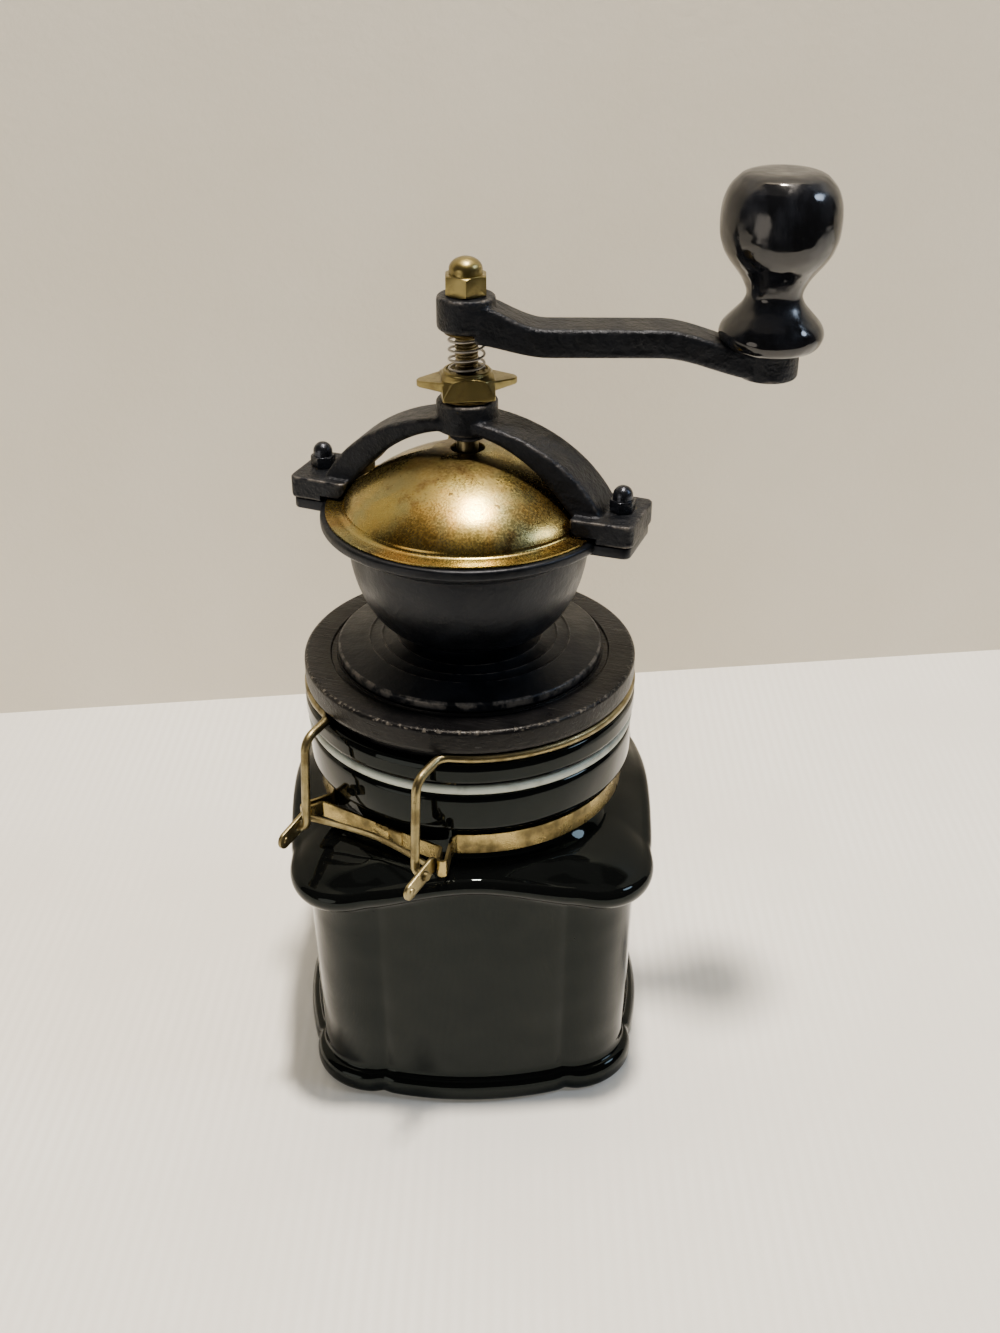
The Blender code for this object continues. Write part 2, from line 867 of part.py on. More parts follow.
def build_lever(look):
    """A flat strip bowed between two arms that turn on the wire's ends."""
    pivot = closure_frame @ at(pivot_reach, 0.0, band_middle)
    tilt = Matrix.Rotation(arm_slope, 4, "Z")
    start = arm_inner_reach - pivot_reach
    end = arm_outer_reach - pivot_reach
    outline = rounded_rectangle(start, end, arm_height / 2, arm_height / 2 - weld_distance, arm_end_steps)
    arms = []
    for side, name, finish_look in ((-1, "latch_lever", look), (1, "latch_arm", None)):
        frame = pivot @ at(0.0, side * arm_half_spacing, 0.0) @ upright
        arm = plate(name, [tilt @ Vector((*p, 0.0)) for p in outline], arm_sheet, frame, finish_look)
        cut(arm, round_bar(f"latch_hole_{side}", wire_radius + running_gap, -overrun, overrun, eye_steps,
                           frame))
        arms.append(arm)
    root = start + arm_height / 2
    bow = bar_reach - pivot_reach - root
    stations = [i / bow_steps - 1.0 for i in range(2 * bow_steps + 1)]
    line = [(root + bow * (1.0 - abs(s) ** bow_power), s * arm_half_spacing) for s in stations]
    strip = [(x + bar_sheet / 2, y) for x, y in line] + [(x - bar_sheet / 2, y) for x, y in line[::-1]]
    rise = root * math.tan(arm_slope)
    join(arms[0], plate("latch_bar", strip, bar_height, pivot @ at(0.0, 0.0, rise)))
    join(arms[0], arms[1])


def bowl_profile():
    profile = [(bowl_mouth_radius, rim_top)]
    profile += [(bowl_rim_radius - bowl_rim_round * inwards, rim_top - bowl_rim_round * down)
                for inwards, down in rim_bead_shares]
    profile += [(bowl_body_radius + bowl_rim_round * outwards, rim_top - bowl_rim_round * down)
                for outwards, down in rim_root_shares]
    span = profile[-1][1] - bowl_neck_z
    for x, y in arc((0.0, 0.0), 1.0, 0.0, math.pi / 2, body_arc_steps)[1:]:
        radius = bowl_neck_radius + (bowl_body_radius - bowl_neck_radius) * x
        profile.append((radius, bowl_neck_z + span * (1.0 - y)))
    foot = flange_bottom + flange_rise
    profile += [
        (bowl_neck_radius, foot + flange_round),
        (bowl_foot_radius, foot),
        (flange_radius - flange_round, flange_top),
        (flange_radius, flange_top - flange_round),
        (flange_radius, flange_bottom),
        (bowl_throat_radius, flange_bottom),
    ]
    floor = flange_bottom + bowl_throat_height
    for x, y in arc((0.0, 0.0), 1.0, 0.0, bowl_floor_turn, floor_arc_steps):
        radius = bowl_throat_radius + (bowl_mouth_radius - bowl_throat_radius) * y
        profile.append((radius, floor + (rim_top - floor) * (1.0 - x)))
    return profile


def lug_frames():
    """The word and the bearing of each end of the yoke."""
    return (("right", Matrix.Rotation(yoke_angle, 4, "Z")),
            ("left", Matrix.Rotation(yoke_angle + math.pi, 4, "Z")))


def build_bowl(look):
    bowl = lathe("bowl", bowl_profile(), bowl_steps, look, closed=True)
    outline = rounded_rectangle(lug_inner, lug_outer, lug_half_width, lug_round)
    for word, frame in lug_frames():
        join(bowl, plate(f"bowl_lug_{word}", outline, lug_depth,
                         frame @ at(0.0, 0.0, lug_top - lug_depth / 2)))
        cut(bowl, round_bar(f"bowl_stud_hole_{word}", stud_radius + gap, lug_top - lug_depth - overrun,
                            lug_top + overrun, stud_steps, frame @ at(stud_reach, 0.0, 0.0)))
    return bowl


def shell_line(first, radius, height, count):
    """A dome's meridian, from the given radius out to its foot."""
    start = math.asin(first / radius)
    turns = [start + (math.pi / 2 - start) * i / (count - 1) for i in range(count)]
    rises = [max(math.cos(t), 0.0)**dome_bell for t in turns]
    return [(radius * math.sin(t), dome_base + height * r) for t, r in zip(turns, rises)]


def sector(start, end, inner, outer):
    return (arc((0.0, 0.0), outer, start, end, window_steps)
            + arc((0.0, 0.0), inner, end, start, window_steps))


def build_dome(look):
    hole_outer = dome_hole_radius + dome_sheet
    outer = shell_line(hole_outer, dome_radius, dome_height, dome_points)
    inner = shell_line(hole_outer, dome_radius - dome_sheet, dome_height - dome_sheet, dome_points)
    lip_bottom = outer[0][1] - dome_hole_lip
    profile = [(dome_hole_radius, outer[0][1])] + outer + [
        (dome_radius + dome_lift, dome_flange_top),
        (dome_flange_radius, dome_flange_top),
        (dome_flange_radius, dome_flange_bottom),
        (dome_radius - dome_sheet, dome_flange_bottom),
    ] + inner[::-1] + [(hole_outer, lip_bottom), (dome_hole_radius, lip_bottom)]
    dome = lathe("dome_shell", profile, dome_steps, look, closed=True)
    window = sector(window_start, window_end, window_inner, dome_radius - window_inset)
    height = dome_height + overrun
    cut(dome, plate("dome_window", window, height, at(0.0, 0.0, dome_flange_top + height / 2)))


def build_hatch(look):
    bore = dome_hole_radius + dome_sheet + running_gap
    outer = shell_line(bore, hatch_radius, hatch_height, hatch_points)
    inner = shell_line(bore, hatch_radius - dome_sheet, hatch_height - dome_sheet, hatch_points)
    foot = rim_top + running_gap
    profile = outer + [(hatch_radius, foot), (hatch_radius - dome_sheet, foot)] + inner[::-1]
    hatch = lathe("dome_hatch", profile, dome_steps, look, closed=True)
    height = dome_height + 3 * overrun
    away = sector(window_end + hatch_lap, window_start - hatch_lap + 2 * math.pi,
                  hatch_ring_outer, dome_radius + overrun)
    cut(hatch, plate("hatch_trim", away, height, at(0.0, 0.0, foot + height / 2 - overrun)))
    build_pull(hatch, look)


def build_pull(hatch, look):
    """The small knob that the hatch is pushed round by."""
    slope = math.asin(pull_reach / hatch_radius)
    fall = dome_bell * math.cos(slope)**(dome_bell - 1)
    normal = Vector((hatch_height * fall * math.sin(slope), 0.0, hatch_radius * math.cos(slope)))
    tilt = Vector((0.0, 0.0, 1.0)).rotation_difference(normal).to_matrix().to_4x4()
    seat = at(pull_reach, 0.0, dome_base + hatch_height * math.cos(slope)**dome_bell)
    frame = Matrix.Rotation(pull_angle, 4, "Z") @ seat @ tilt
    profile = [(0.0, pull_height)]
    profile += [(pull_radius * width, pull_height * height) for width, height in pull_profile_shares]
    profile += [
        (pull_radius * pull_foot_share, gap), (pull_pin_radius, gap),
        (pull_pin_radius, -dome_sheet), (0.0, -dome_sheet),
    ]
    lathe("hatch_pull", profile, stud_steps, look, frame=frame)
    cut(hatch, round_bar("hatch_pull_hole", pull_pin_radius + gap, -overrun, overrun, stud_steps, frame))


def arch_line(span, rise, datum, low):
    """Half of the yoke's arch, from its top out to the given height."""
    last = math.acos((low - datum) / rise)
    turns = [last * i / (yoke_points - 1) for i in range(yoke_points)]
    return [(span * math.sin(t), datum + rise * math.cos(t)) for t in turns]


def build_yoke(look):
    low = yoke_lug_bottom + joint_lap
    over = arch_line(yoke_outer_span, yoke_outer_rise, yoke_datum, low)
    under = arch_line(yoke_inner_span, yoke_inner_rise, yoke_inner_datum, low)
    outline = [(-x, z) for x, z in over[::-1]] + over[1:]
    outline += under[::-1] + [(-x, z) for x, z in under[1:]]
    yoke = plate("yoke", outline, yoke_width, Matrix.Rotation(yoke_angle, 4, "Z") @ upright, look)
    soften(yoke, yoke_edge)
    lug = rounded_rectangle(yoke_lug_inner, yoke_lug_outer, yoke_lug_half_width, lug_round)
    for word, frame in lug_frames():
        middle = (yoke_lug_bottom + yoke_lug_top) / 2
        join(yoke, plate(f"yoke_lug_{word}", lug, yoke_lug_height, frame @ at(0.0, 0.0, middle)))
    join(yoke, round_bar("yoke_hub", hub_radius, hub_bottom, hub_top, hub_steps))
    join(yoke, round_bar("yoke_boss", boss_radius, boss_bottom, hub_bottom + joint_lap, bar_steps))
    clearance = 2 * running_gap
    foot = dome_radius + dome_lift + clearance
    rim = bowl_rim_radius + clearance
    profile = [(0.0, dome_base + dome_height + clearance)]
    profile += [(r + clearance, z + clearance)
                for r, z in shell_line(dome_hole_radius, dome_radius, dome_height, dome_points)]
    profile += [
        (foot, dome_base), (foot, dome_flange_top + clearance), (rim, dome_flange_top + clearance),
        (rim, yoke_lug_bottom - overrun), (0.0, yoke_lug_bottom - overrun),
    ]
    cut(yoke, lathe("yoke_relief", profile, dome_steps))
    cut(yoke, round_bar("yoke_bore", shaft_radius + running_gap, boss_bottom - overrun,
                        hub_top + overrun, bar_steps))
    for word, frame in lug_frames():
        cut(yoke, round_bar(f"yoke_stud_hole_{word}", stud_radius + gap, yoke_lug_bottom - overrun,
                            yoke_lug_top + overrun, stud_steps, frame @ at(stud_reach, 0.0, 0.0)))


def cap_nut(name, flats, hex_height, radius, height, bore, bore_depth, frame, look):
    """A hexagon nut with a domed cap and a blind bore, seated at its frame's origin."""
    form = bmesh.new()
    corner = flats / math.sqrt(3.0)
    bmesh.ops.create_cone(form, cap_ends=True, segments=6, radius1=corner, radius2=corner,
                          depth=hex_height, matrix=at(0.0, 0.0, hex_height / 2))
    nut = add_mesh(name, form, look, frame)
    shoulder = hex_height + (height - hex_height) * cap_start_share
    cap = [(radius * y, shoulder + (height - shoulder) * x)
           for x, y in arc((0.0, 0.0), 1.0, 0.0, math.pi / 2, cap_arc_steps)]
    cap += [(radius, hex_height - joint_lap), (0.0, hex_height - joint_lap)]
    join(nut, lathe(f"{name}_cap", cap, cap_steps, frame=frame))
    cut(nut, round_bar(f"{name}_bore", bore, -overrun, bore_depth, cap_steps, frame))


def build_fixings(look, steel):
    depth = cap_nut_height - cap_nut_cover
    for word, frame in lug_frames():
        spot = frame @ at(stud_reach, 0.0, 0.0)
        top = cap_nut_bottom + depth - gap
        lathe(f"yoke_stud_{word}", [
            (0.0, top), (stud_radius, top), (stud_radius, stud_bottom), (0.0, stud_bottom),
        ], stud_steps, steel, frame=spot)
        cap_nut(f"yoke_nut_{word}", cap_nut_flats, cap_nut_hex, cap_nut_radius, cap_nut_height,
                stud_radius + gap, depth, spot @ at(0.0, 0.0, cap_nut_bottom), look)


def build_shaft(look):
    collar_top_z = collar_z + shaft_collar_height
    tip = shaft_radius - shaft_chamfer
    lathe("shaft", [
        (0.0, shaft_top), (tip, shaft_top), (shaft_radius, shaft_top - shaft_chamfer),
        (shaft_radius, collar_top_z), (shaft_collar_radius, collar_top_z),
        (shaft_collar_radius, collar_z), (shaft_radius, collar_z),
        (shaft_radius, shaft_bottom + shaft_chamfer), (tip, shaft_bottom), (0.0, shaft_bottom),
    ], bar_steps, look)


def toothed_ring(radius, tooth, height, twist):
    """A saw-toothed ring whose teeth reach the given depth from the radius."""
    ring = []
    count = burr_teeth * len(tooth_shares)
    for i in range(count):
        reach = radius + tooth * tooth_shares[i % len(tooth_shares)]
        turn = 2 * math.pi * i / count + twist
        ring.append((reach * math.cos(turn), reach * math.sin(turn), height))
    return ring


def cone_of_teeth(name, base_radius, top_radius, tooth, bottom, top, twist, look=None):
    rings = []
    for i in range(burr_rings):
        share = i / (burr_rings - 1)
        radius = base_radius + (top_radius - base_radius) * share
        rings.append(toothed_ring(radius, tooth, bottom + (top - bottom) * share, twist * share))
    return loft(name, rings, look)


def build_burrs(look):
    top = inner_burr_bottom + burr_height
    inner = cone_of_teeth("inner_burr", inner_burr_base_radius, inner_burr_top_radius, -burr_tooth,
                          inner_burr_bottom, top, burr_twist, look)
    cut(inner, round_bar("inner_burr_bore", shaft_radius + gap, inner_burr_bottom - overrun,
                         top + overrun, bar_steps))
    outer = round_bar("outer_burr", outer_burr_radius, outer_burr_bottom, outer_burr_bottom + burr_height,
                      lid_steps, look=look)
    cut(outer, cone_of_teeth("outer_burr_bore", outer_burr_base_bore, outer_burr_top_bore, burr_tooth,
                             outer_burr_bottom - overrun, outer_burr_bottom + burr_height + overrun,
                             -burr_twist))


def build_bearing(bowl, look, steel):
    """The bridge under the bowl that steadies the foot of the shaft."""
    outline = rounded_rectangle(-bearing_length / 2, bearing_length / 2, bearing_width / 2,
                                bearing_width * bearing_end_share)
    bearing = plate("lower_bearing", outline, bearing_height,
                    at(0.0, 0.0, bearing_bottom + bearing_height / 2), look)
    join(bearing, round_bar("bearing_boss", bearing_boss_radius, bearing_bottom - bearing_boss_depth,
                            bearing_top - joint_lap, bar_steps))
    cut(bearing, round_bar("bearing_bore", shaft_radius + running_gap, shaft_bottom - overrun,
                           bearing_top + overrun, bar_steps))
    tip = flange_bottom + bearing_screw_bite
    for side, word in ((-1, "left"), (1, "right")):
        frame = at(side * bearing_screw_reach, 0.0, 0.0)
        hole = round_bar(f"bearing_hole_{word}", bearing_screw_radius + gap, bearing_bottom - overrun,
                         tip + gap, screw_steps, frame)
        cut(bearing, hole)
        cut(bowl, hole)
        screw_from_below(f"bearing_screw_{word}", bearing_screw_radius, bearing_screw_head,
                         bearing_screw_head_height, bearing_bottom, tip, frame, steel)


def flat_ring(name, outer, bottom, height, look):
    bore = shaft_radius + running_gap
    lathe(name, [
        (outer, bottom + height), (outer, bottom), (bore, bottom), (bore, bottom + height),
    ], bar_steps, look, closed=True)


def nut_ring(half, radius, squareness, height):
    """A ring between a square with cut corners and a circle."""
    ring = []
    for i in range(nut_points):
        turn = 2 * math.pi * (i + 0.5) / nut_points
        square = min(half / max(abs(math.cos(turn)), abs(math.sin(turn))), half * nut_corner_share)
        reach = square * squareness + radius * (1.0 - squareness)
        ring.append((reach * math.cos(turn), reach * math.sin(turn), height))
    return ring


def build_adjuster(look):
    flat_ring("thrust_washer", thrust_washer_radius, thrust_washer_bottom, thrust_washer_height, look)
    nut = loft("adjusting_nut", [
        nut_ring(nut_half_width, nut_boss_radius, 1.0, nut_bottom),
        nut_ring(nut_half_width, nut_boss_radius, 1.0, nut_bottom + nut_height * nut_plate_share),
        nut_ring(nut_half_width, nut_boss_radius, 0.0, nut_bottom + nut_height * nut_square_share),
        nut_ring(nut_half_width, nut_boss_radius, 0.0, nut_top - nut_height * nut_chamfer_share),
        nut_ring(nut_half_width, nut_top_radius, 0.0, nut_top),
    ], look)
    nut.matrix_world = Matrix.Rotation(wing_angle, 4, "Z")
    root = nut_half_width - joint_lap
    wing = [(root, -wing_root_half), (wing_reach, -wing_tip_half),
            (wing_reach, wing_tip_half), (root, wing_root_half)]
    for side in (0, 1):
        frame = Matrix.Rotation(wing_angle + side * math.pi, 4, "Z") @ at(0.0, 0.0, nut_bottom + wing_rise)
        join(nut, plate(f"nut_wing_{side}", wing, wing_height, frame))
    cut(nut, round_bar("nut_bore", shaft_radius + gap, nut_bottom - overrun, nut_top + overrun, bar_steps))
    cut(nut, round_bar("nut_spring_seat", spring_seat_radius, nut_top - spring_seat_depth,
                       nut_top + overrun, bar_steps))


def spring_path():
    """A helix whose ends run one wire diameter square to the faces they meet."""
    lead = 2 * spring_wire_radius
    rise = spring_length - 2 * lead
    count = int(spring_turns * spring_points)
    coil = []
    for i in range(count + 1):
        turn = 2 * math.pi * spring_turns * i / count
        height = spring_bottom + lead + rise * i / count
        coil.append((spring_radius * math.cos(turn), spring_radius * math.sin(turn), height))
    return [(*coil[0][:2], spring_bottom)] + coil + [(*coil[-1][:2], spring_top)]


def report_spring_gap(points):
    spots = [Vector(p) for p in points]
    apart = spring_points // 2
    least = min((spots[i] - spots[j]).length
                for i in range(len(spots)) for j in range(i + apart, len(spots)))
    print(f"spring: least gap to itself {(least - 2 * spring_wire_radius) * 1000:.2f} mm")


def build_spring(look, brass):
    path = spring_path()
    report_spring_gap(path)
    wire("spring", path, spring_wire_radius, 1, look)
    flat_ring("spring_washer", washer_radius, washer_bottom, washer_height, brass)


def crank_line(side):
    """The crank's upper (1) or lower (-1) edge as (reach, height) points."""
    line = []
    for i in range(crank_points):
        share = i / (crank_points - 1)
        fall = ease(share / arm_fall_end_share)
        dip = ease((share - arm_dip_start_share) / (1.0 - arm_dip_start_share))
        drop = arm_hub_drop + (arm_flat_drop - arm_hub_drop) * fall + (arm_pad_drop - arm_flat_drop) * dip
        depth = arm_hub_thickness + (arm_thickness - arm_hub_thickness) * fall
        depth += (arm_pad_thickness - arm_thickness) * dip
        line.append(((crank_reach - joint_lap) * share, crank_top - drop + side * depth / 2))
    return line


def build_crank(look):
    arm = plate("crank_arm", crank_line(-1) + crank_line(1)[::-1], crank_width, crank_frame @ upright, look)
    soften(arm, crank_edge)
    join(arm, round_bar("crank_hub", crank_hub_radius, crank_bottom, crank_top, hub_steps))
    pad_frame = crank_frame @ at(crank_reach, 0.0, 0.0)
    join(arm, lathe("crank_pad", [
        (0.0, pad_top), (pad_radius - pad_round, pad_top), (pad_radius, pad_top - pad_round),
        (pad_radius, pad_bottom + pad_round), (pad_radius - pad_round, pad_bottom), (0.0, pad_bottom),
    ], hub_steps, frame=pad_frame))
    cut(arm, round_bar("crank_pad_face", pad_radius * 2, pad_top, crank_top, hub_steps, pad_frame))
    cut(arm, round_bar("crank_pocket", crank_pocket_radius, crank_bottom - pad_height, crank_bottom,
                       hub_steps))
    cut(arm, round_bar("crank_bore", shaft_radius + gap, crank_bottom - overrun, crank_top + overrun,
                       bar_steps))
    cut(arm, round_bar("crank_spindle_hole", spindle_radius + gap, pad_bottom - overrun,
                       pad_top + overrun, bar_steps, pad_frame))
    return pad_frame


def build_knob(frame, wood, steel):
    bottom = pad_bottom + gap
    top = knob_bottom + spindle_height
    lathe("knob_spindle", [
        (0.0, top), (spindle_radius, top), (spindle_radius, bottom), (0.0, bottom),
    ], bar_steps, steel, frame=frame)
    bore = spindle_radius + running_gap
    profile = [(0.0, knob_bottom + knob_height)]
    profile += [(knob_radius * width, knob_bottom + knob_height * height)
                for height, width in knob_profile_shares]
    profile += [(bore, knob_bottom), (bore, top + running_gap), (0.0, top + running_gap)]
    lathe("knob", profile, knob_steps, wood, frame=frame)


def main():
    black_glaze = ((0.012, 0.012, 0.013), 0.06, 0.0)
    black_wood = ((0.020, 0.019, 0.019), 0.42, 0.0)
    gloss_wood = ((0.012, 0.012, 0.014), 0.14, 0.0)
    iron = ((0.022, 0.022, 0.023), 0.48, 0.3)
    pale_rubber = ((0.62, 0.62, 0.58), 0.6, 0.0)
    brass = ((0.52, 0.38, 0.16), 0.3, 1.0)
    dull_brass = ((0.42, 0.34, 0.19), 0.38, 1.0)
    steel = ((0.35, 0.34, 0.32), 0.35, 1.0)
    build_jar(black_glaze)
    build_band(dull_brass)
    build_bail(dull_brass)
    build_lever(dull_brass)
    plug, disc = build_lid(black_glaze, pale_rubber, black_wood)
    bowl = build_bowl(iron)
    build_lid_screws((plug, disc, bowl), steel)
    build_dome(brass)
    build_hatch(brass)
    build_yoke(iron)
    build_fixings(iron, steel)
    build_shaft(steel)
    build_burrs(steel)
    build_bearing(bowl, iron, steel)
    build_adjuster(brass)
    build_spring(steel, brass)
    pad_frame = build_crank(iron)
    cap_nut("crank_nut", crown_nut_flats, crown_nut_hex, crown_nut_radius, crown_nut_height,
            shaft_radius + gap, crown_nut_height - crown_nut_cover + gap,
            at(0.0, 0.0, crown_nut_bottom), brass)
    build_knob(pad_frame, gloss_wood, steel)
    lid = ["bail_wire", "gasket", "lid_plug", "lid_disc", "bowl", "dome_shell", "yoke", "outer_burr",
           "lower_bearing", "bearing_screw_left", "bearing_screw_right"]
    lid += [f"lid_screw_{i + 1}" for i in range(lid_screw_count)]
    lid += [f"yoke_{piece}_{word}" for piece in ("stud", "nut") for word, _ in lug_frames()]
    hang("lid_hinge", closure_frame @ at(-hinge_reach, 0.0, band_middle), lid)
    hang("hatch_axis", at(0.0, 0.0, rim_top), ["dome_hatch", "hatch_pull"])
    hang("crank_axis", at(0.0, 0.0, hub_top), ["shaft", "inner_burr", "spring", "spring_washer",
                                              "crank_arm", "crank_nut", "knob_spindle"])


clear_scene()
pieces = new_collection("coffee_mill")
tools = new_collection("cutters", hidden=True)
main()
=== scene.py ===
import logging
import math
from collections.abc import Callable
from dataclasses import dataclass, field
from enum import Enum

import bmesh
import bpy
from mathutils import Matrix, Vector


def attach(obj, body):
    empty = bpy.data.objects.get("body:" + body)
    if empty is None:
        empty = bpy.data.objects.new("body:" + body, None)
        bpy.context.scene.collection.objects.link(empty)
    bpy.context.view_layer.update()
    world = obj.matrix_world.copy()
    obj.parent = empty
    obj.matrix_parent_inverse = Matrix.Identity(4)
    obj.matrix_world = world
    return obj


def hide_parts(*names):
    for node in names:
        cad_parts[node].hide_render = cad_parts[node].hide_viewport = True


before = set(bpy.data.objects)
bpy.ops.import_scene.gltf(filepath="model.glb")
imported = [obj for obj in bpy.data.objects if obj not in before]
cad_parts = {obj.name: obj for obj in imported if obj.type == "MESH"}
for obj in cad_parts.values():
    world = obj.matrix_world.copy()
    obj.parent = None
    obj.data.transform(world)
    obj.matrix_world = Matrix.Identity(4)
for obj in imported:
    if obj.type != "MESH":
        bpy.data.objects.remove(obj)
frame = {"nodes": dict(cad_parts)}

logging.basicConfig(level=logging.INFO, format="%(message)s")
log = logging.getLogger("coffee_mill")

TAU = 2.0 * math.pi
QUARTER = math.pi / 2.0
MERGE = 0.000002
Form = bmesh.types.BMesh
Object = bpy.types.Object
Tree = bpy.types.NodeTree
Socket = bpy.types.NodeSocket
Curve = Callable[[float], float]
Line = list[tuple[float, float]]
Triple = tuple[float, float, float]


class Body(Enum):
    """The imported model's moving bodies."""

    JAR = "jar"
    LID = "lid"
    LEVER = "lever"
    HATCH = "hatch"
    DRIVE = "drive"
    ADJUSTER = "adjuster"
    GRIP = "grip"


class Side(Enum):
    """The two ends of the yoke, with the bearing of each from the yoke's own line."""

    RIGHT = ("right", 0.0)
    LEFT = ("left", math.pi)


# Finishes


def linear(code: str) -> tuple[float, float, float, float]:
    """Turns an sRGB colour into the linear values that sockets take.

    Args:
        code: The colour as #rrggbb.

    Returns:
        Linear red, green, blue and an alpha of one.
    """
    parts = [int(code[i:i + 2], 16) / 255.0 for i in (1, 3, 5)]
    red, green, blue = (c / 12.92 if c <= 0.04045 else ((c + 0.055) / 1.055) ** 2.4 for c in parts)
    return red, green, blue, 1.0


def add_node(tree: Tree, kind: str, inputs: dict, **settings: object) -> bpy.types.Node:
    """Adds one node to a tree.

    Args:
        tree: The node tree.
        kind: The node's type name.
        inputs: Values or output sockets by input name or number.
        **settings: Properties of the node.

    Returns:
        The new node.
    """
    node = tree.nodes.new(kind)
    for key, value in settings.items():
        setattr(node, key, value)
    for key, value in inputs.items():
        if isinstance(value, Socket):
            tree.links.new(value, node.inputs[key])
        else:
            node.inputs[key].default_value = value
    return node


def mottle(tree: Tree, place: Socket, size: float, low: float, high: float,
           stretch: Triple = (1.0, 1.0, 1.0), detail: float = 5.0,
           shift: float = 0.0) -> Socket:
    """Makes a mask of soft blotches.

    Args:
        tree: The node tree.
        place: The coordinates, in metres.
        size: How wide a blotch is, in metres.
        low: The noise value where the mask starts.
        high: The noise value where the mask is full.
        stretch: How much finer the pattern is along each axis.
        detail: How many finer layers the noise has.
        shift: An offset, so that two masks of one size differ.

    Returns:
        The mask's socket, from 0 to 1.
    """
    moved = add_node(tree, "ShaderNodeMapping",
                     {"Vector": place, "Location": (shift, shift, shift), "Scale": stretch})
    noise = add_node(tree, "ShaderNodeTexNoise", {"Vector": moved.outputs["Vector"], "Scale": 1.0 / size,
                                                  "Detail": detail, "Roughness": 0.58})
    mask = add_node(tree, "ShaderNodeMapRange", {"Value": noise.outputs[0], "From Min": low,
                                                 "From Max": high}, interpolation_type="SMOOTHSTEP")
    return mask.outputs["Result"]


def tinted(tree: Tree, under: object, over: object, mask: object) -> Socket:
    """Lays one colour over another.

    Args:
        tree: The node tree.
        under: The colour as #rrggbb, or its socket, where the mask is 0.
        over: The colour as #rrggbb, or its socket, where the mask is 1.
        mask: The mask's socket.

    Returns:
        The mixed colour's socket.
    """
    first, last = (linear(colour) if isinstance(colour, str) else colour for colour in (under, over))
    return add_node(tree, "ShaderNodeMix", {0: mask, 6: first, 7: last}, data_type="RGBA").outputs[2]


def ranged(tree: Tree, value: Socket, start: float, end: float, low: float = 0.0,
           high: float = 1.0) -> Socket:
    """Maps a value between two ranges, held at their ends.

    Args:
        tree: The node tree.
        value: The value's socket.
        start: The value that gives low.
        end: The value that gives high.
        low: The result at the start.
        high: The result at the end.

    Returns:
        The result's socket.
    """
    return add_node(tree, "ShaderNodeMapRange", {"Value": value, "From Min": start, "From Max": end,
                                                 "To Min": low, "To Max": high}).outputs["Result"]


def product(tree: Tree, *values: object) -> Socket:
    """Multiplies masks with each other.

    Args:
        tree: The node tree.
        *values: Sockets or plain numbers.

    Returns:
        The product's socket.
    """
    result = values[0]
    for value in values[1:]:
        result = add_node(tree, "ShaderNodeMath", {0: result, 1: value}, operation="MULTIPLY").outputs[0]
    return result


def bumped(tree: Tree, height: Socket, depth: float, base: Socket | None = None) -> Socket:
    """Raises a surface by a mask.

    Args:
        tree: The node tree.
        height: The mask's socket.
        depth: How far it rises, in metres.
        base: The normal that it adds to, if any.

    Returns:
        The normal's socket.
    """
    inputs = {"Height": height, "Distance": depth, "Strength": 1.0}
    if base is not None:
        inputs["Normal"] = base
    return add_node(tree, "ShaderNodeBump", inputs).outputs["Normal"]


@dataclass(frozen=True)
class Finish:
    """A surface as it was made and as use has left it."""

    name: str

    def material(self) -> bpy.types.Material:
        """Makes the finish's material, or returns the one that it already made."""
        made = bpy.data.materials.get(self.name)
        if made is not None:
            return made
        made = bpy.data.materials.new(self.name)
        made.use_nodes = True
        tree = made.node_tree
        tree.nodes.clear()
        shader = add_node(tree, "ShaderNodeBsdfPrincipled", {})
        add_node(tree, "ShaderNodeOutputMaterial", {"Surface": shader.outputs["BSDF"]})
        place = add_node(tree, "ShaderNodeTexCoord", {}).outputs["Object"]
        for key, value in self.paint(tree, place).items():
            if isinstance(value, Socket):
                tree.links.new(value, shader.inputs[key])
            else:
                shader.inputs[key].default_value = value
        return made

    def paint(self, tree: Tree, place: Socket) -> dict:
        """Builds the pattern.

        Args:
            tree: The material's node tree.
            place: The object's own coordinates, in metres.

        Returns:
            Values or sockets for the surface shader's inputs.
        """
        raise NotImplementedError


@dataclass(frozen=True)
class BlackGlaze(Finish):
    """Stoneware under a thick gloss black glaze.

    The eye gets mirror-like reflections that wobble a little, because the glaze ran before it set,
    pinhead specks of dust, and a bare buff ring where the foot stood in the kiln.
    """

    wobble: float = 0.00035

    def paint(self, tree: Tree, place: Socket) -> dict:
        """Builds the glaze; see Finish.paint."""
        height = add_node(tree, "ShaderNodeSeparateXYZ", {"Vector": place}).outputs["Z"]
        bare = ranged(tree, height, 0.0006, 0.0002)
        dust = mottle(tree, place, 0.0022, 0.70, 0.76)
        black = tinted(tree, "#060707", "#161617", dust)
        run = mottle(tree, place, 0.022, 0.2, 0.8, detail=1.0)
        peel = mottle(tree, place, 0.0026, 0.2, 0.8, detail=2.0)
        smear = mottle(tree, place, 0.016, 0.45, 0.75, shift=0.3)
        normal = bumped(tree, peel, 0.000007, bumped(tree, run, self.wobble))
        gloss = ranged(tree, smear, 0.0, 1.0, 0.035, 0.10)
        rough = add_node(tree, "ShaderNodeMath", {0: gloss, 1: bare}, operation="ADD").outputs[0]
        return {"Base Color": tinted(tree, black, "#8d7c63", bare), "Roughness": rough,
                "IOR": 1.52, "Specular IOR Level": 0.18, "Specular Tint": linear("#e2f4f2"), "Normal": normal}


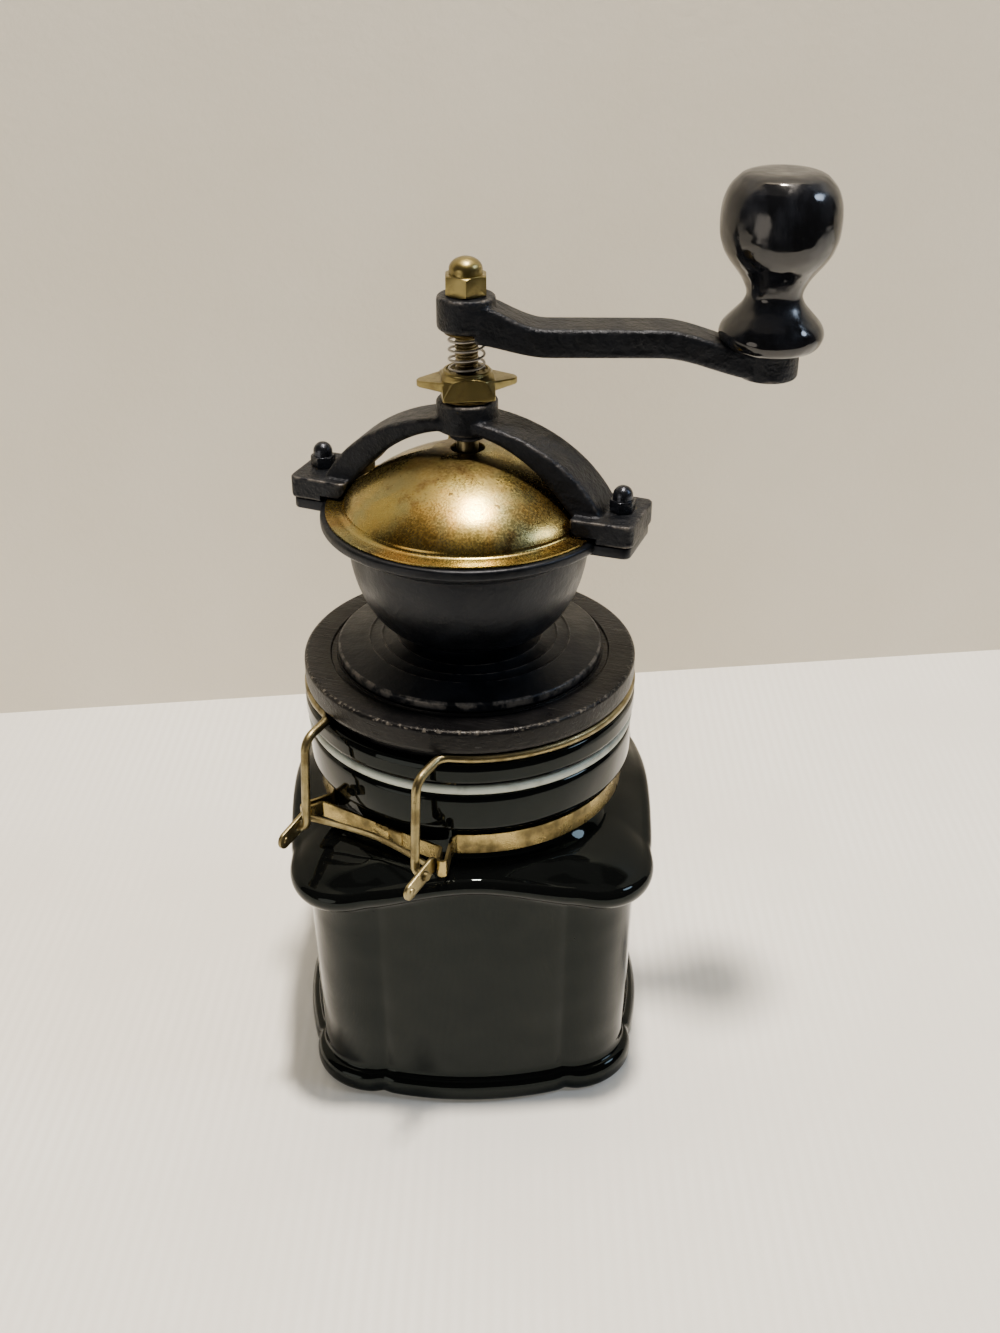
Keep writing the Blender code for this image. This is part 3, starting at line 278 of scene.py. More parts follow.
@dataclass(frozen=True)
class PaintedWood(Finish):
    """A turned wooden disc in satin black paint.

    The eye gets fine grain lines and short cracks along the fibres, long pale scratches from
    handling, and paint rubbed off in specks round the upper edge.
    """

    edge_radius: float = 0.0542
    top: float = 0.1483

    def paint(self, tree: Tree, place: Socket) -> dict:
        """Builds the paint; see Finish.paint."""
        parts = add_node(tree, "ShaderNodeSeparateXYZ", {"Vector": place})
        flat = add_node(tree, "ShaderNodeCombineXYZ", {"X": parts.outputs["X"], "Y": parts.outputs["Y"]})
        length = add_node(tree, "ShaderNodeVectorMath", {0: flat.outputs[0]}, operation="LENGTH")
        reach = length.outputs["Value"]
        turned = add_node(tree, "ShaderNodeMapping", {"Vector": place, "Rotation": (0.0, 0.0, 0.35)})
        fibre = mottle(tree, turned.outputs[0], 0.0010, 0.35, 0.75, (0.05, 1.0, 1.0), 4.0)
        cracks = product(tree, mottle(tree, turned.outputs[0], 0.0012, 0.63, 0.70, (0.09, 1.0, 1.0), 3.0),
                         mottle(tree, place, 0.018, 0.44, 0.62, shift=0.7))
        across = add_node(tree, "ShaderNodeMapping", {"Vector": place, "Rotation": (0.0, 0.0, -0.28)})
        marks = product(tree, mottle(tree, across.outputs[0], 0.0008, 0.66, 0.71, (0.035, 1.0, 1.0), 2.0),
                        mottle(tree, place, 0.020, 0.46, 0.60, shift=1.3))
        edge = product(tree, ranged(tree, reach, self.edge_radius - 0.0008, self.edge_radius - 0.0002),
                       ranged(tree, parts.outputs["Z"], self.top - 0.0011, self.top - 0.0005))
        chips = product(tree, edge, mottle(tree, place, 0.0013, 0.50, 0.66), 0.7)
        black = tinted(tree, "#060607", "#0c0c0e", fibre)
        worn = tinted(tree, black, "#5a554d", chips)
        scratched = tinted(tree, worn, "#33322f", marks)
        peel = mottle(tree, place, 0.0019, 0.25, 0.75, detail=3.0)
        normal = bumped(tree, fibre, 0.00004, bumped(tree, peel, 0.00005))
        normal = bumped(tree, cracks, -0.00030, normal)
        normal = bumped(tree, chips, -0.00012, normal)
        rough = ranged(tree, mottle(tree, place, 0.012, 0.3, 0.7, shift=0.2), 0.0, 1.0, 0.26, 0.42)
        return {"Base Color": scratched, "Roughness": rough, "IOR": 1.5, "Specular IOR Level": 0.20,
                "Normal": normal}


@dataclass(frozen=True)
class BlackLacquer(Finish):
    """Turned beech under gloss black lacquer, with rubbed patches.

    The eye gets sharp reflections that break up where hands have dulled the lacquer.
    """

    def paint(self, tree: Tree, place: Socket) -> dict:
        """Builds the lacquer; see Finish.paint."""
        dull = mottle(tree, place, 0.011, 0.42, 0.62, (1.0, 1.0, 0.7))
        nicks = mottle(tree, place, 0.0035, 0.70, 0.74, detail=3.0, shift=0.4)
        black = tinted(tree, "#090a0d", "#15171c", dull)
        wave = mottle(tree, place, 0.010, 0.2, 0.8, detail=2.0)
        normal = bumped(tree, nicks, -0.00012, bumped(tree, wave, 0.00022))
        rough = ranged(tree, dull, 0.0, 1.0, 0.09, 0.26)
        return {"Base Color": tinted(tree, black, "#2a2a2c", nicks), "Roughness": rough,
                "IOR": 1.5, "Specular IOR Level": 0.50, "Normal": normal}


@dataclass(frozen=True)
class CastIron(Finish):
    """Sand-cast iron under satin black paint.

    The eye gets the sand's grain, about a millimetre across, broad soft highlights, and a dull
    grey-brown metal where edges are rubbed through.
    """

    grain: float = 0.0011
    depth: float = 0.00014
    dull: float = 0.36

    def paint(self, tree: Tree, place: Socket) -> dict:
        """Builds the casting's skin; see Finish.paint."""
        worn = add_node(tree, "ShaderNodeAttribute", {}, attribute_name="wear").outputs["Fac"]
        patches = mottle(tree, place, 0.0038, 0.40, 0.62)
        rubbed = product(tree, worn, patches, 0.85)
        clouds = mottle(tree, place, 0.009, 0.35, 0.70, shift=0.5)
        paint = tinted(tree, "#040507", "#080a0e", clouds)
        pits = mottle(tree, place, self.grain, 0.30, 0.72, detail=3.0)
        lumps = mottle(tree, place, self.grain * 4.0, 0.2, 0.8, detail=1.0, shift=0.9)
        normal = bumped(tree, pits, self.depth, bumped(tree, lumps, self.depth * 1.6))
        rough = ranged(tree, clouds, 0.0, 1.0, self.dull, self.dull + 0.14)
        return {"Base Color": tinted(tree, paint, "#75706a", rubbed), "Metallic": rubbed,
                "Roughness": rough, "IOR": 1.5, "Specular IOR Level": 0.26,
                "Specular Tint": linear("#e9f0ff"), "Normal": normal}


@dataclass(frozen=True)
class StainedBrassWithPaintedShade(Finish):
    """Spun sheet brass whose polish has aged.

    The eye gets a broad soft highlight with a sandy grain, warm copper and grey-green areas, dark
    brown stains at random, painted shade and reflection of the yoke as dark brown blotches over
    the crown, and a scatter of small dark spots.
    """

    def paint(self, tree: Tree, place: Socket) -> dict:
        """Builds the brass; see Finish.paint."""
        parts = add_node(tree, "ShaderNodeSeparateXYZ", {"Vector": place})
        warm = mottle(tree, place, 0.030, 0.40, 0.62, shift=0.10)
        grey = mottle(tree, place, 0.021, 0.46, 0.66, shift=0.55)
        stain = mottle(tree, place, 0.013, 0.56, 0.68, shift=0.23)
        spots = mottle(tree, place, 0.0036, 0.66, 0.71, detail=3.0, shift=0.8)
        grain = mottle(tree, place, 0.0007, 0.30, 0.70, detail=3.0)
        # Painted shade: the crown under the yoke is darkened in brown blotches to stand in for the yoke's
        # shadow and reflection, and is made slightly duller.
        height = ranged(tree, parts.outputs["Z"], 0.2075, 0.2165)
        crown = product(tree, height, mottle(tree, place, 0.012, 0.30, 0.60, shift=0.37))
        base = tinted(tree, "#a3914f", "#a5823f", warm)
        base = tinted(tree, base, "#8f8a5c", grey)
        base = tinted(tree, base, "#5b4020", product(tree, stain, 0.75))
        # Painted shade and reflection of the yoke, laid over the crown.
        base = tinted(tree, base, "#4d3a1f", product(tree, crown, 0.8))
        base = tinted(tree, base, "#3b2814", product(tree, spots, 0.8))
        base = tinted(tree, base, "#a39463", product(tree, grain, 0.22))
        rough = ranged(tree, grain, 0.0, 1.0, 0.21, 0.30)
        dull = add_node(tree, "ShaderNodeMath", {0: rough, 1: product(tree, crown, 0.12)}, operation="ADD")
        dents = mottle(tree, place, 0.016, 0.2, 0.8, detail=1.0, shift=0.6)
        normal = bumped(tree, grain, 0.000009, bumped(tree, dents, 0.00018))
        return {"Base Color": base, "Metallic": 1.0, "Roughness": dull.outputs[0], "Normal": normal}


@dataclass(frozen=True)
class MachinedBrass(Finish):
    """Brass bar turned and milled, dulled by handling.

    The eye gets a yellow-olive metal with a fine grain and brown tarnish in its hollows.
    """

    colour: str = "#8c8053"
    tarnish: str = "#5d5033"
    rough: float = 0.32

    def paint(self, tree: Tree, place: Socket) -> dict:
        """Builds the metal; see Finish.paint."""
        brown = mottle(tree, place, 0.0045, 0.48, 0.70)
        grain = mottle(tree, place, 0.0006, 0.25, 0.75, (1.0, 1.0, 2.4), 3.0)
        base = tinted(tree, self.colour, self.tarnish, product(tree, brown, 0.55))
        rough = ranged(tree, brown, 0.0, 1.0, self.rough, self.rough + 0.12)
        return {"Base Color": base, "Metallic": 1.0, "Roughness": rough,
                "Normal": bumped(tree, grain, 0.000006)}


@dataclass(frozen=True)
class PlatedSteel(Finish):
    """Drawn steel wire and strip with a thin brass plating, tarnished.

    The eye gets a muted yellow-grey metal, streaked along its length, with brown freckles.
    """

    colour: str = "#8f8460"
    rough: float = 0.30
    spotted: float = 0.5

    def paint(self, tree: Tree, place: Socket) -> dict:
        """Builds the plating; see Finish.paint."""
        tired = mottle(tree, place, 0.007, 0.42, 0.66)
        freckles = mottle(tree, place, 0.0014, 0.64, 0.72, detail=3.0, shift=0.2)
        grain = mottle(tree, place, 0.0005, 0.3, 0.7, detail=2.0)
        base = tinted(tree, self.colour, "#6f6445", tired)
        base = tinted(tree, base, "#4a3c24", product(tree, freckles, self.spotted))
        rough = ranged(tree, tired, 0.0, 1.0, self.rough, self.rough + 0.16)
        return {"Base Color": base, "Metallic": 1.0, "Roughness": rough,
                "Normal": bumped(tree, grain, 0.00002)}


@dataclass(frozen=True)
class BareSteel(Finish):
    """Turned or ground steel, either bright or blackened with oil.

    The eye gets a close-grained grey metal with darker smears.
    """

    colour: str = "#8b8880"
    smear: str = "#55524c"
    metallic: float = 1.0
    rough: float = 0.28

    def paint(self, tree: Tree, place: Socket) -> dict:
        """Builds the metal; see Finish.paint."""
        smears = mottle(tree, place, 0.004, 0.40, 0.68)
        tooling = mottle(tree, place, 0.0005, 0.25, 0.75, (0.6, 0.6, 3.0), 2.0)
        rough = ranged(tree, smears, 0.0, 1.0, self.rough, self.rough + 0.15)
        return {"Base Color": tinted(tree, self.colour, self.smear, smears),
                "Metallic": self.metallic, "Roughness": rough,
                "Normal": bumped(tree, tooling, 0.000025)}


@dataclass(frozen=True)
class PaleRubber(Finish):
    """Moulded silicone rubber, pale grey-green.

    The eye gets a soft matt edge, a little darker where dirt has caught in it.
    """

    def paint(self, tree: Tree, place: Socket) -> dict:
        """Builds the rubber; see Finish.paint."""
        dirt = mottle(tree, place, 0.006, 0.45, 0.75)
        skin = mottle(tree, place, 0.0007, 0.3, 0.7, detail=2.0)
        return {"Base Color": tinted(tree, "#aeb3a6", "#8e9184", dirt),
                "Roughness": 0.46, "Subsurface Weight": 0.08, "Subsurface Radius": (0.002, 0.002, 0.0015),
                "Normal": bumped(tree, skin, 0.00002)}


@dataclass(frozen=True)
class RibbedSheet(Finish):
    """A white ribbed plastic board, the surface that the mill stands on."""

    pitch: float = 0.0042

    def paint(self, tree: Tree, place: Socket) -> dict:
        """Builds the board; see Finish.paint."""
        turned = add_node(tree, "ShaderNodeMapping", {"Vector": place, "Rotation": (0.0, 0.0, 0.03)})
        wave = add_node(tree, "ShaderNodeTexWave", {"Vector": turned.outputs[0], "Scale": 0.314 / self.pitch,
                                                    "Distortion": 0.0}, bands_direction="X")
        cloud = mottle(tree, place, 0.12, 0.3, 0.7)
        ribs = tinted(tree, "#e8e6df", "#efede7", wave.outputs["Fac"])
        return {"Base Color": tinted(tree, ribs, "#e5e3db", cloud), "Roughness": 0.5,
                "Normal": bumped(tree, wave.outputs["Fac"], 0.00006)}


@dataclass(frozen=True)
class Plaster(Finish):
    """A warm off-white painted wall, left clear from behind so that the mill's back can be seen."""

    def paint(self, tree: Tree, place: Socket) -> dict:
        """Builds the wall; see Finish.paint."""
        cloud = mottle(tree, place, 0.10, 0.3, 0.7)
        orange_peel = mottle(tree, place, 0.004, 0.3, 0.7)
        behind = add_node(tree, "ShaderNodeNewGeometry", {}).outputs["Backfacing"]
        return {"Base Color": tinted(tree, "#d3cbba", "#d0c7b5", cloud),
                "Roughness": 0.8, "Normal": bumped(tree, orange_peel, 0.00005),
                "Alpha": ranged(tree, behind, 0.0, 1.0, 1.0, 0.0)}


GLAZE = BlackGlaze("gloss_black_glaze")
DISC_PAINT = PaintedWood("satin_painted_wood")
LACQUER = BlackLacquer("black_lacquered_beech")
IRON = CastIron("painted_cast_iron")
SMOOTH_IRON = CastIron("smooth_painted_iron", 0.0016, 0.00004, 0.34)
DOME_BRASS = StainedBrassWithPaintedShade("stained_spun_brass_painted_shade")
NUT_BRASS = MachinedBrass("machined_brass")
WASHER_BRASS = MachinedBrass("dull_brass_washer", "#4f4429", "#2c2416", 0.42)
WIRE_PLATE = PlatedSteel("plated_wire")
BAND_PLATE = PlatedSteel("plated_band", "#a89663", 0.26, 0.2)
DARK_STEEL = BareSteel("blackened_steel", "#3c3f46", "#1b1d21", 0.9, 0.22)
SPRING_STEEL = BareSteel("spring_steel", "#9a927d", "#6b6350", 1.0, 0.27)
SHAFT_STEEL = BareSteel("threaded_steel", "#8c8264", "#5e553d", 1.0, 0.30)
SCREW_STEEL = BareSteel("zinc_plated_steel", "#9a9a98", "#6b6a66", 1.0, 0.30)
BURR_STEEL = BareSteel("ground_burr_steel", "#6d6b67", "#4a4844", 1.0, 0.42)
RUBBER = PaleRubber("pale_rubber")


# Shaping


def at(x: float, y: float, z: float) -> Matrix:
    """Returns a move to a place."""
    return Matrix.Translation((x, y, z))


def about_z(angle: float) -> Matrix:
    """Returns a turn round the upright axis."""
    return Matrix.Rotation(angle, 4, "Z")


def moved(form: Form, place: Matrix) -> Form:
    """Moves a form to its place and returns it."""
    bmesh.ops.transform(form, matrix=place, verts=form.verts)
    return form


UPRIGHT = Matrix.Rotation(QUARTER, 4, "X")


def arc(radius: float, start: float, end: float, steps: int,
        centre: tuple[float, float] = (0.0, 0.0)) -> Line:
    """Returns points along an arc.

    Args:
        radius: The arc's radius.
        start: The angle of its first point.
        end: The angle of its last point.
        steps: How many chords it has.
        centre: Its centre.

    Returns:
        One more point than it has chords.
    """
    turns = [start + (end - start) * i / steps for i in range(steps + 1)]
    return [(centre[0] + radius * math.cos(t), centre[1] + radius * math.sin(t)) for t in turns]


def eased(corners: list[Triple], steps: int = 5) -> Line:
    """Rounds the corners of a closed outline.

    Args:
        corners: Each corner's two coordinates and its radius.
        steps: How many chords each rounding has.

    Returns:
        The outline's points.
    """
    outline = []
    for i, (x, y, radius) in enumerate(corners):
        here = Vector((x, y))
        before = Vector(corners[i - 1][:2])
        after = Vector(corners[(i + 1) % len(corners)][:2])
        back, ahead = (before - here), (after - here)
        half = back.angle(ahead) / 2.0
        if radius <= 0.0 or half > math.radians(88.0):
            outline.append((x, y))
            continue
        run = min(radius / math.tan(half), back.length * 0.48, ahead.length * 0.48)
        back.normalize()
        ahead.normalize()
        bend = run * math.tan(half)
        middle = here + (back + ahead).normalized() * (bend / math.sin(half))
        first, last = here + back * run - middle, here + ahead * run - middle
        swing = first.angle_signed(last)
        for k in range(steps + 1):
            spoke = first.copy()
            spoke.rotate(Matrix.Rotation(-swing * k / steps, 2))
            outline.append(tuple(middle + spoke))
    return outline


def mirrored(half: tuple, steps: int) -> Line:
    """Rounds the corners of an outline that is the same to both sides of X.

    Args:
        half: The corners to one side, each with its two coordinates and its radius.
        steps: How many chords each rounding has.

    Returns:
        The outline's points.
    """
    return eased([(x, -y, radius) for x, y, radius in half] + list(half[::-1]), steps)


def disc_line(inner: float, outer: float, low: float, high: float, rounds: Triple, steps: int) -> Line:
    """Returns the section of a flat ring, or of a plain disc where inner is 0.

    Args:
        inner: Its inner radius.
        outer: Its outer radius.
        low: The height of its underside.
        high: The height of its top.
        rounds: The roundings of its inner, lower outer and upper outer corners.
        steps: How many chords each rounding has.

    Returns:
        The section's points.
    """
    bore, below, above = rounds
    return eased([(inner, low, bore), (outer, low, below), (outer, high, above), (inner, high, bore)], steps)


def bent_path(points: list, radius: float, steps: int) -> list[Vector]:
    """Rounds the inner corners of a wire's path wherever it turns sharply.

    Args:
        points: The path's corners.
        radius: The bend's radius.
        steps: How many chords each bend has.

    Returns:
        The bent path.
    """
    spots = [Vector(p) for p in points]
    path = [spots[0]]
    for before, corner, after in zip(spots[:-2], spots[1:-1], spots[2:]):
        back = (before - corner).normalized()
        ahead = (after - corner).normalized()
        half = back.angle(ahead) / 2.0
        if half > math.radians(83.0):
            path.append(corner)
            continue
        run = min(radius / math.tan(half), (before - corner).length / 2, (after - corner).length / 2)
        bend = run * math.tan(half)
        middle = corner + (back + ahead).normalized() * (bend / math.sin(half))
        first, last = corner + back * run - middle, corner + ahead * run - middle
        path += [middle + first.slerp(last, i / steps) * bend for i in range(steps + 1)]
    path.append(spots[-1])
    return path


def turned(profile: Line, steps: int, closed: bool = True) -> Form:
    """Spins a profile once round Z.

    Args:
        profile: Points of radius and height.
        steps: How many steps the spin has.
        closed: Whether the profile is a closed loop.

    Returns:
        The turned form.
    """
    form = bmesh.new()
    verts = [form.verts.new((r, 0.0, z)) for r, z in profile]
    edges = [form.edges.new(pair) for pair in zip(verts, verts[1:])]
    if closed:
        edges.append(form.edges.new((verts[-1], verts[0])))
    bmesh.ops.spin(form, geom=verts + edges, cent=(0.0, 0.0, 0.0), axis=(0.0, 0.0, 1.0),
                   dvec=(0.0, 0.0, 0.0), angle=TAU, steps=steps, use_merge=True)
    bmesh.ops.remove_doubles(form, verts=form.verts, dist=MERGE)
    bmesh.ops.recalc_face_normals(form, faces=form.faces)
    return form


def thrown(rows: list[tuple[Curve, Curve]], points: int) -> Form:
    """Draws a hollow form up ring by ring and closes both its ends.

    Args:
        rows: How far each ring reaches, and how high it lies, at each bearing.
        points: How many points a ring has.

    Returns:
        The closed form.
    """
    form = bmesh.new()
    ring = bmesh.ops.create_circle(form, cap_ends=True, segments=points, radius=1.0)["verts"]
    edges = list(form.edges)
    for i, (reach, height) in enumerate(rows):
        if i:
            made = bmesh.ops.extrude_edge_only(form, edges=edges)["geom"]
            ring = [part for part in made if isinstance(part, bmesh.types.BMVert)]
            fresh = set(ring)
            edges = [part for part in made if isinstance(part, bmesh.types.BMEdge)
                     and fresh.issuperset(part.verts)]
        for vert in ring:
            turn = math.atan2(vert.co.y, vert.co.x)
            vert.co = (reach(turn) * math.cos(turn), reach(turn) * math.sin(turn), height(turn))
    bmesh.ops.edgeloop_fill(form, edges=edges)
    bmesh.ops.recalc_face_normals(form, faces=form.faces)
    return form


def rounded(form: Form, edges: list, reach: float, segments: int) -> None:
    """Rounds edges of a form.

    Args:
        form: The form.
        edges: The edges.
        reach: How far the rounding reaches from each edge.
        segments: How many steps it has.
    """
    bmesh.ops.bevel(form, geom=edges, offset=reach, offset_type="OFFSET", segments=segments, profile=0.5,
                    affect="EDGES", clamp_overlap=True, material=-1)


def slab(outline: Line, thickness: float, place: Matrix, soft: float = 0.0, segments: int = 2) -> Form:
    """Makes a plate of one outline, evenly to both sides of its plane.

    Args:
        outline: The outline's points.
        thickness: The plate's thickness.
        place: Where its plane lies.
        soft: How far its rim is rounded.
        segments: How many steps the rounding has.

    Returns:
        The plate.
    """
    form = bmesh.new()
    low = [form.verts.new((x, y, -thickness / 2.0)) for x, y in outline]
    face = form.faces.new(low)
    top = bmesh.ops.extrude_face_region(form, geom=[face])["geom"]
    lifted = [part for part in top if isinstance(part, bmesh.types.BMVert)]
    bmesh.ops.translate(form, verts=lifted, vec=(0.0, 0.0, thickness))
    bmesh.ops.recalc_face_normals(form, faces=form.faces)
    if soft > 0.0:
        rims = [e for e in form.edges if abs(e.verts[0].co.z - e.verts[1].co.z) < MERGE]
        rounded(form, rims, soft, segments)
    return moved(form, place)


def bar(radius: float, low: float, high: float, steps: int, place: Matrix = Matrix()) -> Form:
    """Makes a plain round bar.

    Args:
        radius: Its radius.
        low: Its lower end along its own Z.
        high: Its upper end.
        steps: How many sides it has.
        place: Where it stands.

    Returns:
        The bar.
    """
    form = bmesh.new()
    bmesh.ops.create_cone(form, cap_ends=True, segments=steps, radius1=radius, radius2=radius,
                          depth=high - low, matrix=place @ at(0.0, 0.0, (low + high) / 2.0))
    return form


def block(low: tuple, high: tuple, place: Matrix = Matrix(), soft: float = 0.0) -> Form:
    """Makes a block between two corners.

    Args:
        low: Its lowest corner.
        high: Its highest corner.
        place: Where the corners are counted from.
        soft: How far its edges are rounded.

    Returns:
        The block.
    """
    form = bmesh.new()
    start, end = Vector(low), Vector(high)
    size = Matrix.Diagonal((*(end - start), 1.0))
    bmesh.ops.create_cube(form, size=1.0, matrix=Matrix.Translation((start + end) / 2.0) @ size)
    if soft > 0.0:
        rounded(form, form.edges[:], soft, 3)
    return moved(form, place)


def gathered(forms: list[Form]) -> Form:
    """Puts several forms into one, each still a shell of its own."""
    whole = bmesh.new()
    for form in forms:
        data = bpy.data.meshes.new("part")
        form.to_mesh(data)
        form.free()
        whole.from_mesh(data)
        bpy.data.meshes.remove(data)
    return whole


def loose_object(form: Form, name: str) -> Object:
    """Makes an object of a form for modifiers to work on."""
    data = bpy.data.meshes.new(name)
    form.to_mesh(data)
    form.free()
    obj = bpy.data.objects.new(name, data)
    bpy.context.scene.collection.objects.link(obj)
    return obj


def baked(obj: Object) -> Form:
    """Reads an object's shape after its modifiers, and removes the object."""
    bpy.context.view_layer.update()
    graph = bpy.context.evaluated_depsgraph_get()
    data = bpy.data.meshes.new_from_object(obj.evaluated_get(graph))
    form = bmesh.new()
    form.from_mesh(data)
    bpy.data.meshes.remove(data)
    bpy.data.objects.remove(obj, do_unlink=True)
    return form


def carved(form: Form, tools: list[Form], kind: str = "DIFFERENCE") -> Form:
    """Cuts a form with tools.

    Args:
        form: The form.
        tools: The tools, each a closed form.
        kind: What each cut does.

    Returns:
        The cut form.
    """
    target = loose_object(form, "work")
    cutters = [loose_object(tool, "tool") for tool in tools]
    for cutter in cutters:
        step = target.modifiers.new("Cut", "BOOLEAN")
        step.operation = kind
        step.solver = "EXACT"
        step.object = cutter
    made = baked(target)
    for cutter in cutters:
        bpy.data.objects.remove(cutter, do_unlink=True)
    return made


def melted(form: Form, voxel: float, passes: int) -> Form:
    """Melts overlapping shells into one skin and softens it.

    Args:
        form: The shells.
        voxel: The skin's grain.
        passes: How often the skin is smoothed.

    Returns:
        The skin.
    """
    lump = loose_object(form, "lump")
    skin = lump.modifiers.new("Skin", "REMESH")
    skin.mode = "VOXEL"
    skin.voxel_size = voxel
    soften = lump.modifiers.new("Soften", "SMOOTH")
    soften.factor = 0.5
    soften.iterations = passes
    return baked(lump)


def thickened(form: Form, thickness: float, offset: float, even: bool) -> Form:
    """Gives a sheet its thickness.

    Args:
        form: The sheet.
        thickness: Its thickness.
        offset: To which side it grows, or 0 for both.
        even: Whether corners keep the full thickness.

    Returns:
        The thick sheet.
    """
    sheet = loose_object(form, "sheet")
    wall = sheet.modifiers.new("Sheet", "SOLIDIFY")
    wall.thickness = thickness
    wall.offset = offset
    wall.use_even_offset = even
    return baked(sheet)


def cast(forms: list[Form], voxel: float, passes: int, tools: list[Form]) -> Form:
    """Melts overlapping forms into one casting with soft edges, then drills it.

    Args:
        forms: The closed forms.
        voxel: The mesh's grain.
        passes: How often the skin is smoothed.
        tools: The drills.

    Returns:
        The casting, with how far each point stands out kept as "wear".
    """
    form = melted(gathered(forms), voxel, passes)
    mark_wear(form, voxel)
    return carved(form, tools)


def mark_wear(form: Form, spacing: float, passes: int = 3) -> None:
    """Writes how exposed each point is, from 0 in a hollow to 1 on an edge.

    Args:
        form: The form.
        spacing: The distance between its points.
        passes: How often the value is evened out.
    """
    layer = form.verts.layers.float.new("wear")
    form.normal_update()
    for vert in form.verts:
        others = [edge.other_vert(vert).co for edge in vert.link_edges]
        mean = sum(others, Vector()) / len(others)
        vert[layer] = (vert.co - mean).dot(vert.normal) / spacing
    for _ in range(passes):
        evened = {}
        for vert in form.verts:
            near = [edge.other_vert(vert)[layer] for edge in vert.link_edges]
            evened[vert] = (vert[layer] + sum(near)) / (1 + len(near))
        for vert, value in evened.items():
            vert[layer] = value
    for vert in form.verts:
        vert[layer] = min(1.0, max(0.0, (vert[layer] - 0.045) / 0.055))


def sealed(form: Form, name: str, finish: Finish, crease: float = 38.0) -> Object:
    """Makes a finished piece of a form.

    Args:
        form: The form, which is used up.
        name: The piece's name.
        finish: What covers it.
        crease: The angle, in degrees, past which an edge looks sharp.

    Returns:
        The piece.
    """
    bmesh.ops.remove_doubles(form, verts=form.verts, dist=MERGE)
    bmesh.ops.recalc_face_normals(form, faces=form.faces)
    piece = loose_object(form, name)
    piece.data.name = name
    piece.data.shade_smooth()
    piece.data.set_sharp_from_angle(angle=math.radians(crease))
    piece.data.materials.append(finish.material())
    return piece


def wired(name: str, path: list, radius: float, finish: Finish) -> Object:
    """Makes a round wire along a path.

    Args:
        name: The piece's name.
        path: The points of its middle line.
        radius: The wire's radius.
        finish: What covers it.

    Returns:
        The wire.
    """
    data = bpy.data.curves.new(name, "CURVE")
    data.dimensions = "3D"
    line = data.splines.new("POLY")
    line.points.add(len(path) - 1)
    for spot, point in zip(line.points, path):
        spot.co = (*point, 1.0)
    line.use_smooth = True
    data.bevel_depth = radius
    data.bevel_resolution = 6
    data.use_fill_caps = True
    rope = bpy.data.objects.new("line", data)
    bpy.context.scene.collection.objects.link(rope)
    return sealed(baked(rope), name, finish, 50.0)


def placed(piece: Object, body: Body, slot: str, *nodes: str) -> None:
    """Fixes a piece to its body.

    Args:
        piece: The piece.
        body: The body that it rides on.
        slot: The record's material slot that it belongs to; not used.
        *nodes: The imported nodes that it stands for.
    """
    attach(piece, body.value)
    if nodes:
        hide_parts(*nodes)
    log.info("%s rides on %s", piece.name, body.value)


def dressed(finish: Finish, *nodes: str) -> None:
    """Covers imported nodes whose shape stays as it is.

    Args:
        finish: What covers them.
        *nodes: The nodes.
    """
    for name in nodes:
        for slot in frame["nodes"][name].material_slots:
            slot.material = finish.material()
        log.info("%s keeps its solid", name)


# Jar and lid


@dataclass(frozen=True)
class Plan:
    """A round-cornered square with a bulged panel on each side, or a circle where bulge is 0."""

    half: float
    bulge: float = 0.0
    corner: float = 0.0
    groove: float = 0.0
    crease: float = math.radians(30.0)
    valley_width: float = 0.034

    def reach(self, turn: float) -> float:
        """Returns how far the plan reaches at a bearing."""
        if self.bulge == 0.0:
            return self.half
        bearing = abs((turn + QUARTER / 2.0) % QUARTER - QUARTER / 2.0)
        flat_end = self.half - self.corner
        reach = self.half / math.cos(bearing)
        if self.half * math.tan(bearing) > flat_end:
            along = flat_end * (math.cos(bearing) + math.sin(bearing))
            reach = along + math.sqrt(along * along - 2.0 * flat_end**2 + self.corner**2)
        valley = self.groove * math.exp(-((bearing - self.crease) / self.valley_width) ** 2)
        if bearing > self.crease:
            return reach - valley
        crease = self.half * math.tan(self.crease)
        panel = (crease * crease + self.bulge**2) / (2.0 * self.bulge)
        middle = self.half + self.bulge - panel
        inside = middle * math.cos(bearing)
        bulged = inside + math.sqrt(inside * inside - middle * middle + panel * panel)
        return max(reach, bulged) - valley


def ring(first: Plan, second: Plan, share: float, inset: float, height: float,
         droop: float = 0.0) -> tuple[Curve, Curve]:
    """Describes one ring of the jar.

    Args:
        first: The plan at share 0.
        second: The plan at share 1.
        share: How far the ring is between them.
        inset: How far it lies inside the plan.
        height: Its height at the middle of each side.
        droop: How much lower it lies at the corners.

    Returns:
        Its reach and its height, as functions of the bearing.
    """
    def reach(turn: float) -> float:
        """Returns how far the ring reaches at a bearing."""
        return first.reach(turn) * (1.0 - share) + second.reach(turn) * share - inset

    def level(turn: float) -> float:
        """Returns how high the ring lies at a bearing."""
        return height - droop * (1.0 - math.cos(4.0 * turn)) / 2.0

    return reach, level


def level_ring(plan: Plan, inset: float, height: float, droop: float = 0.0) -> tuple[Curve, Curve]:
    """Describes a ring of the jar that keeps to one plan."""
    return ring(plan, plan, 0.0, inset, height, droop)


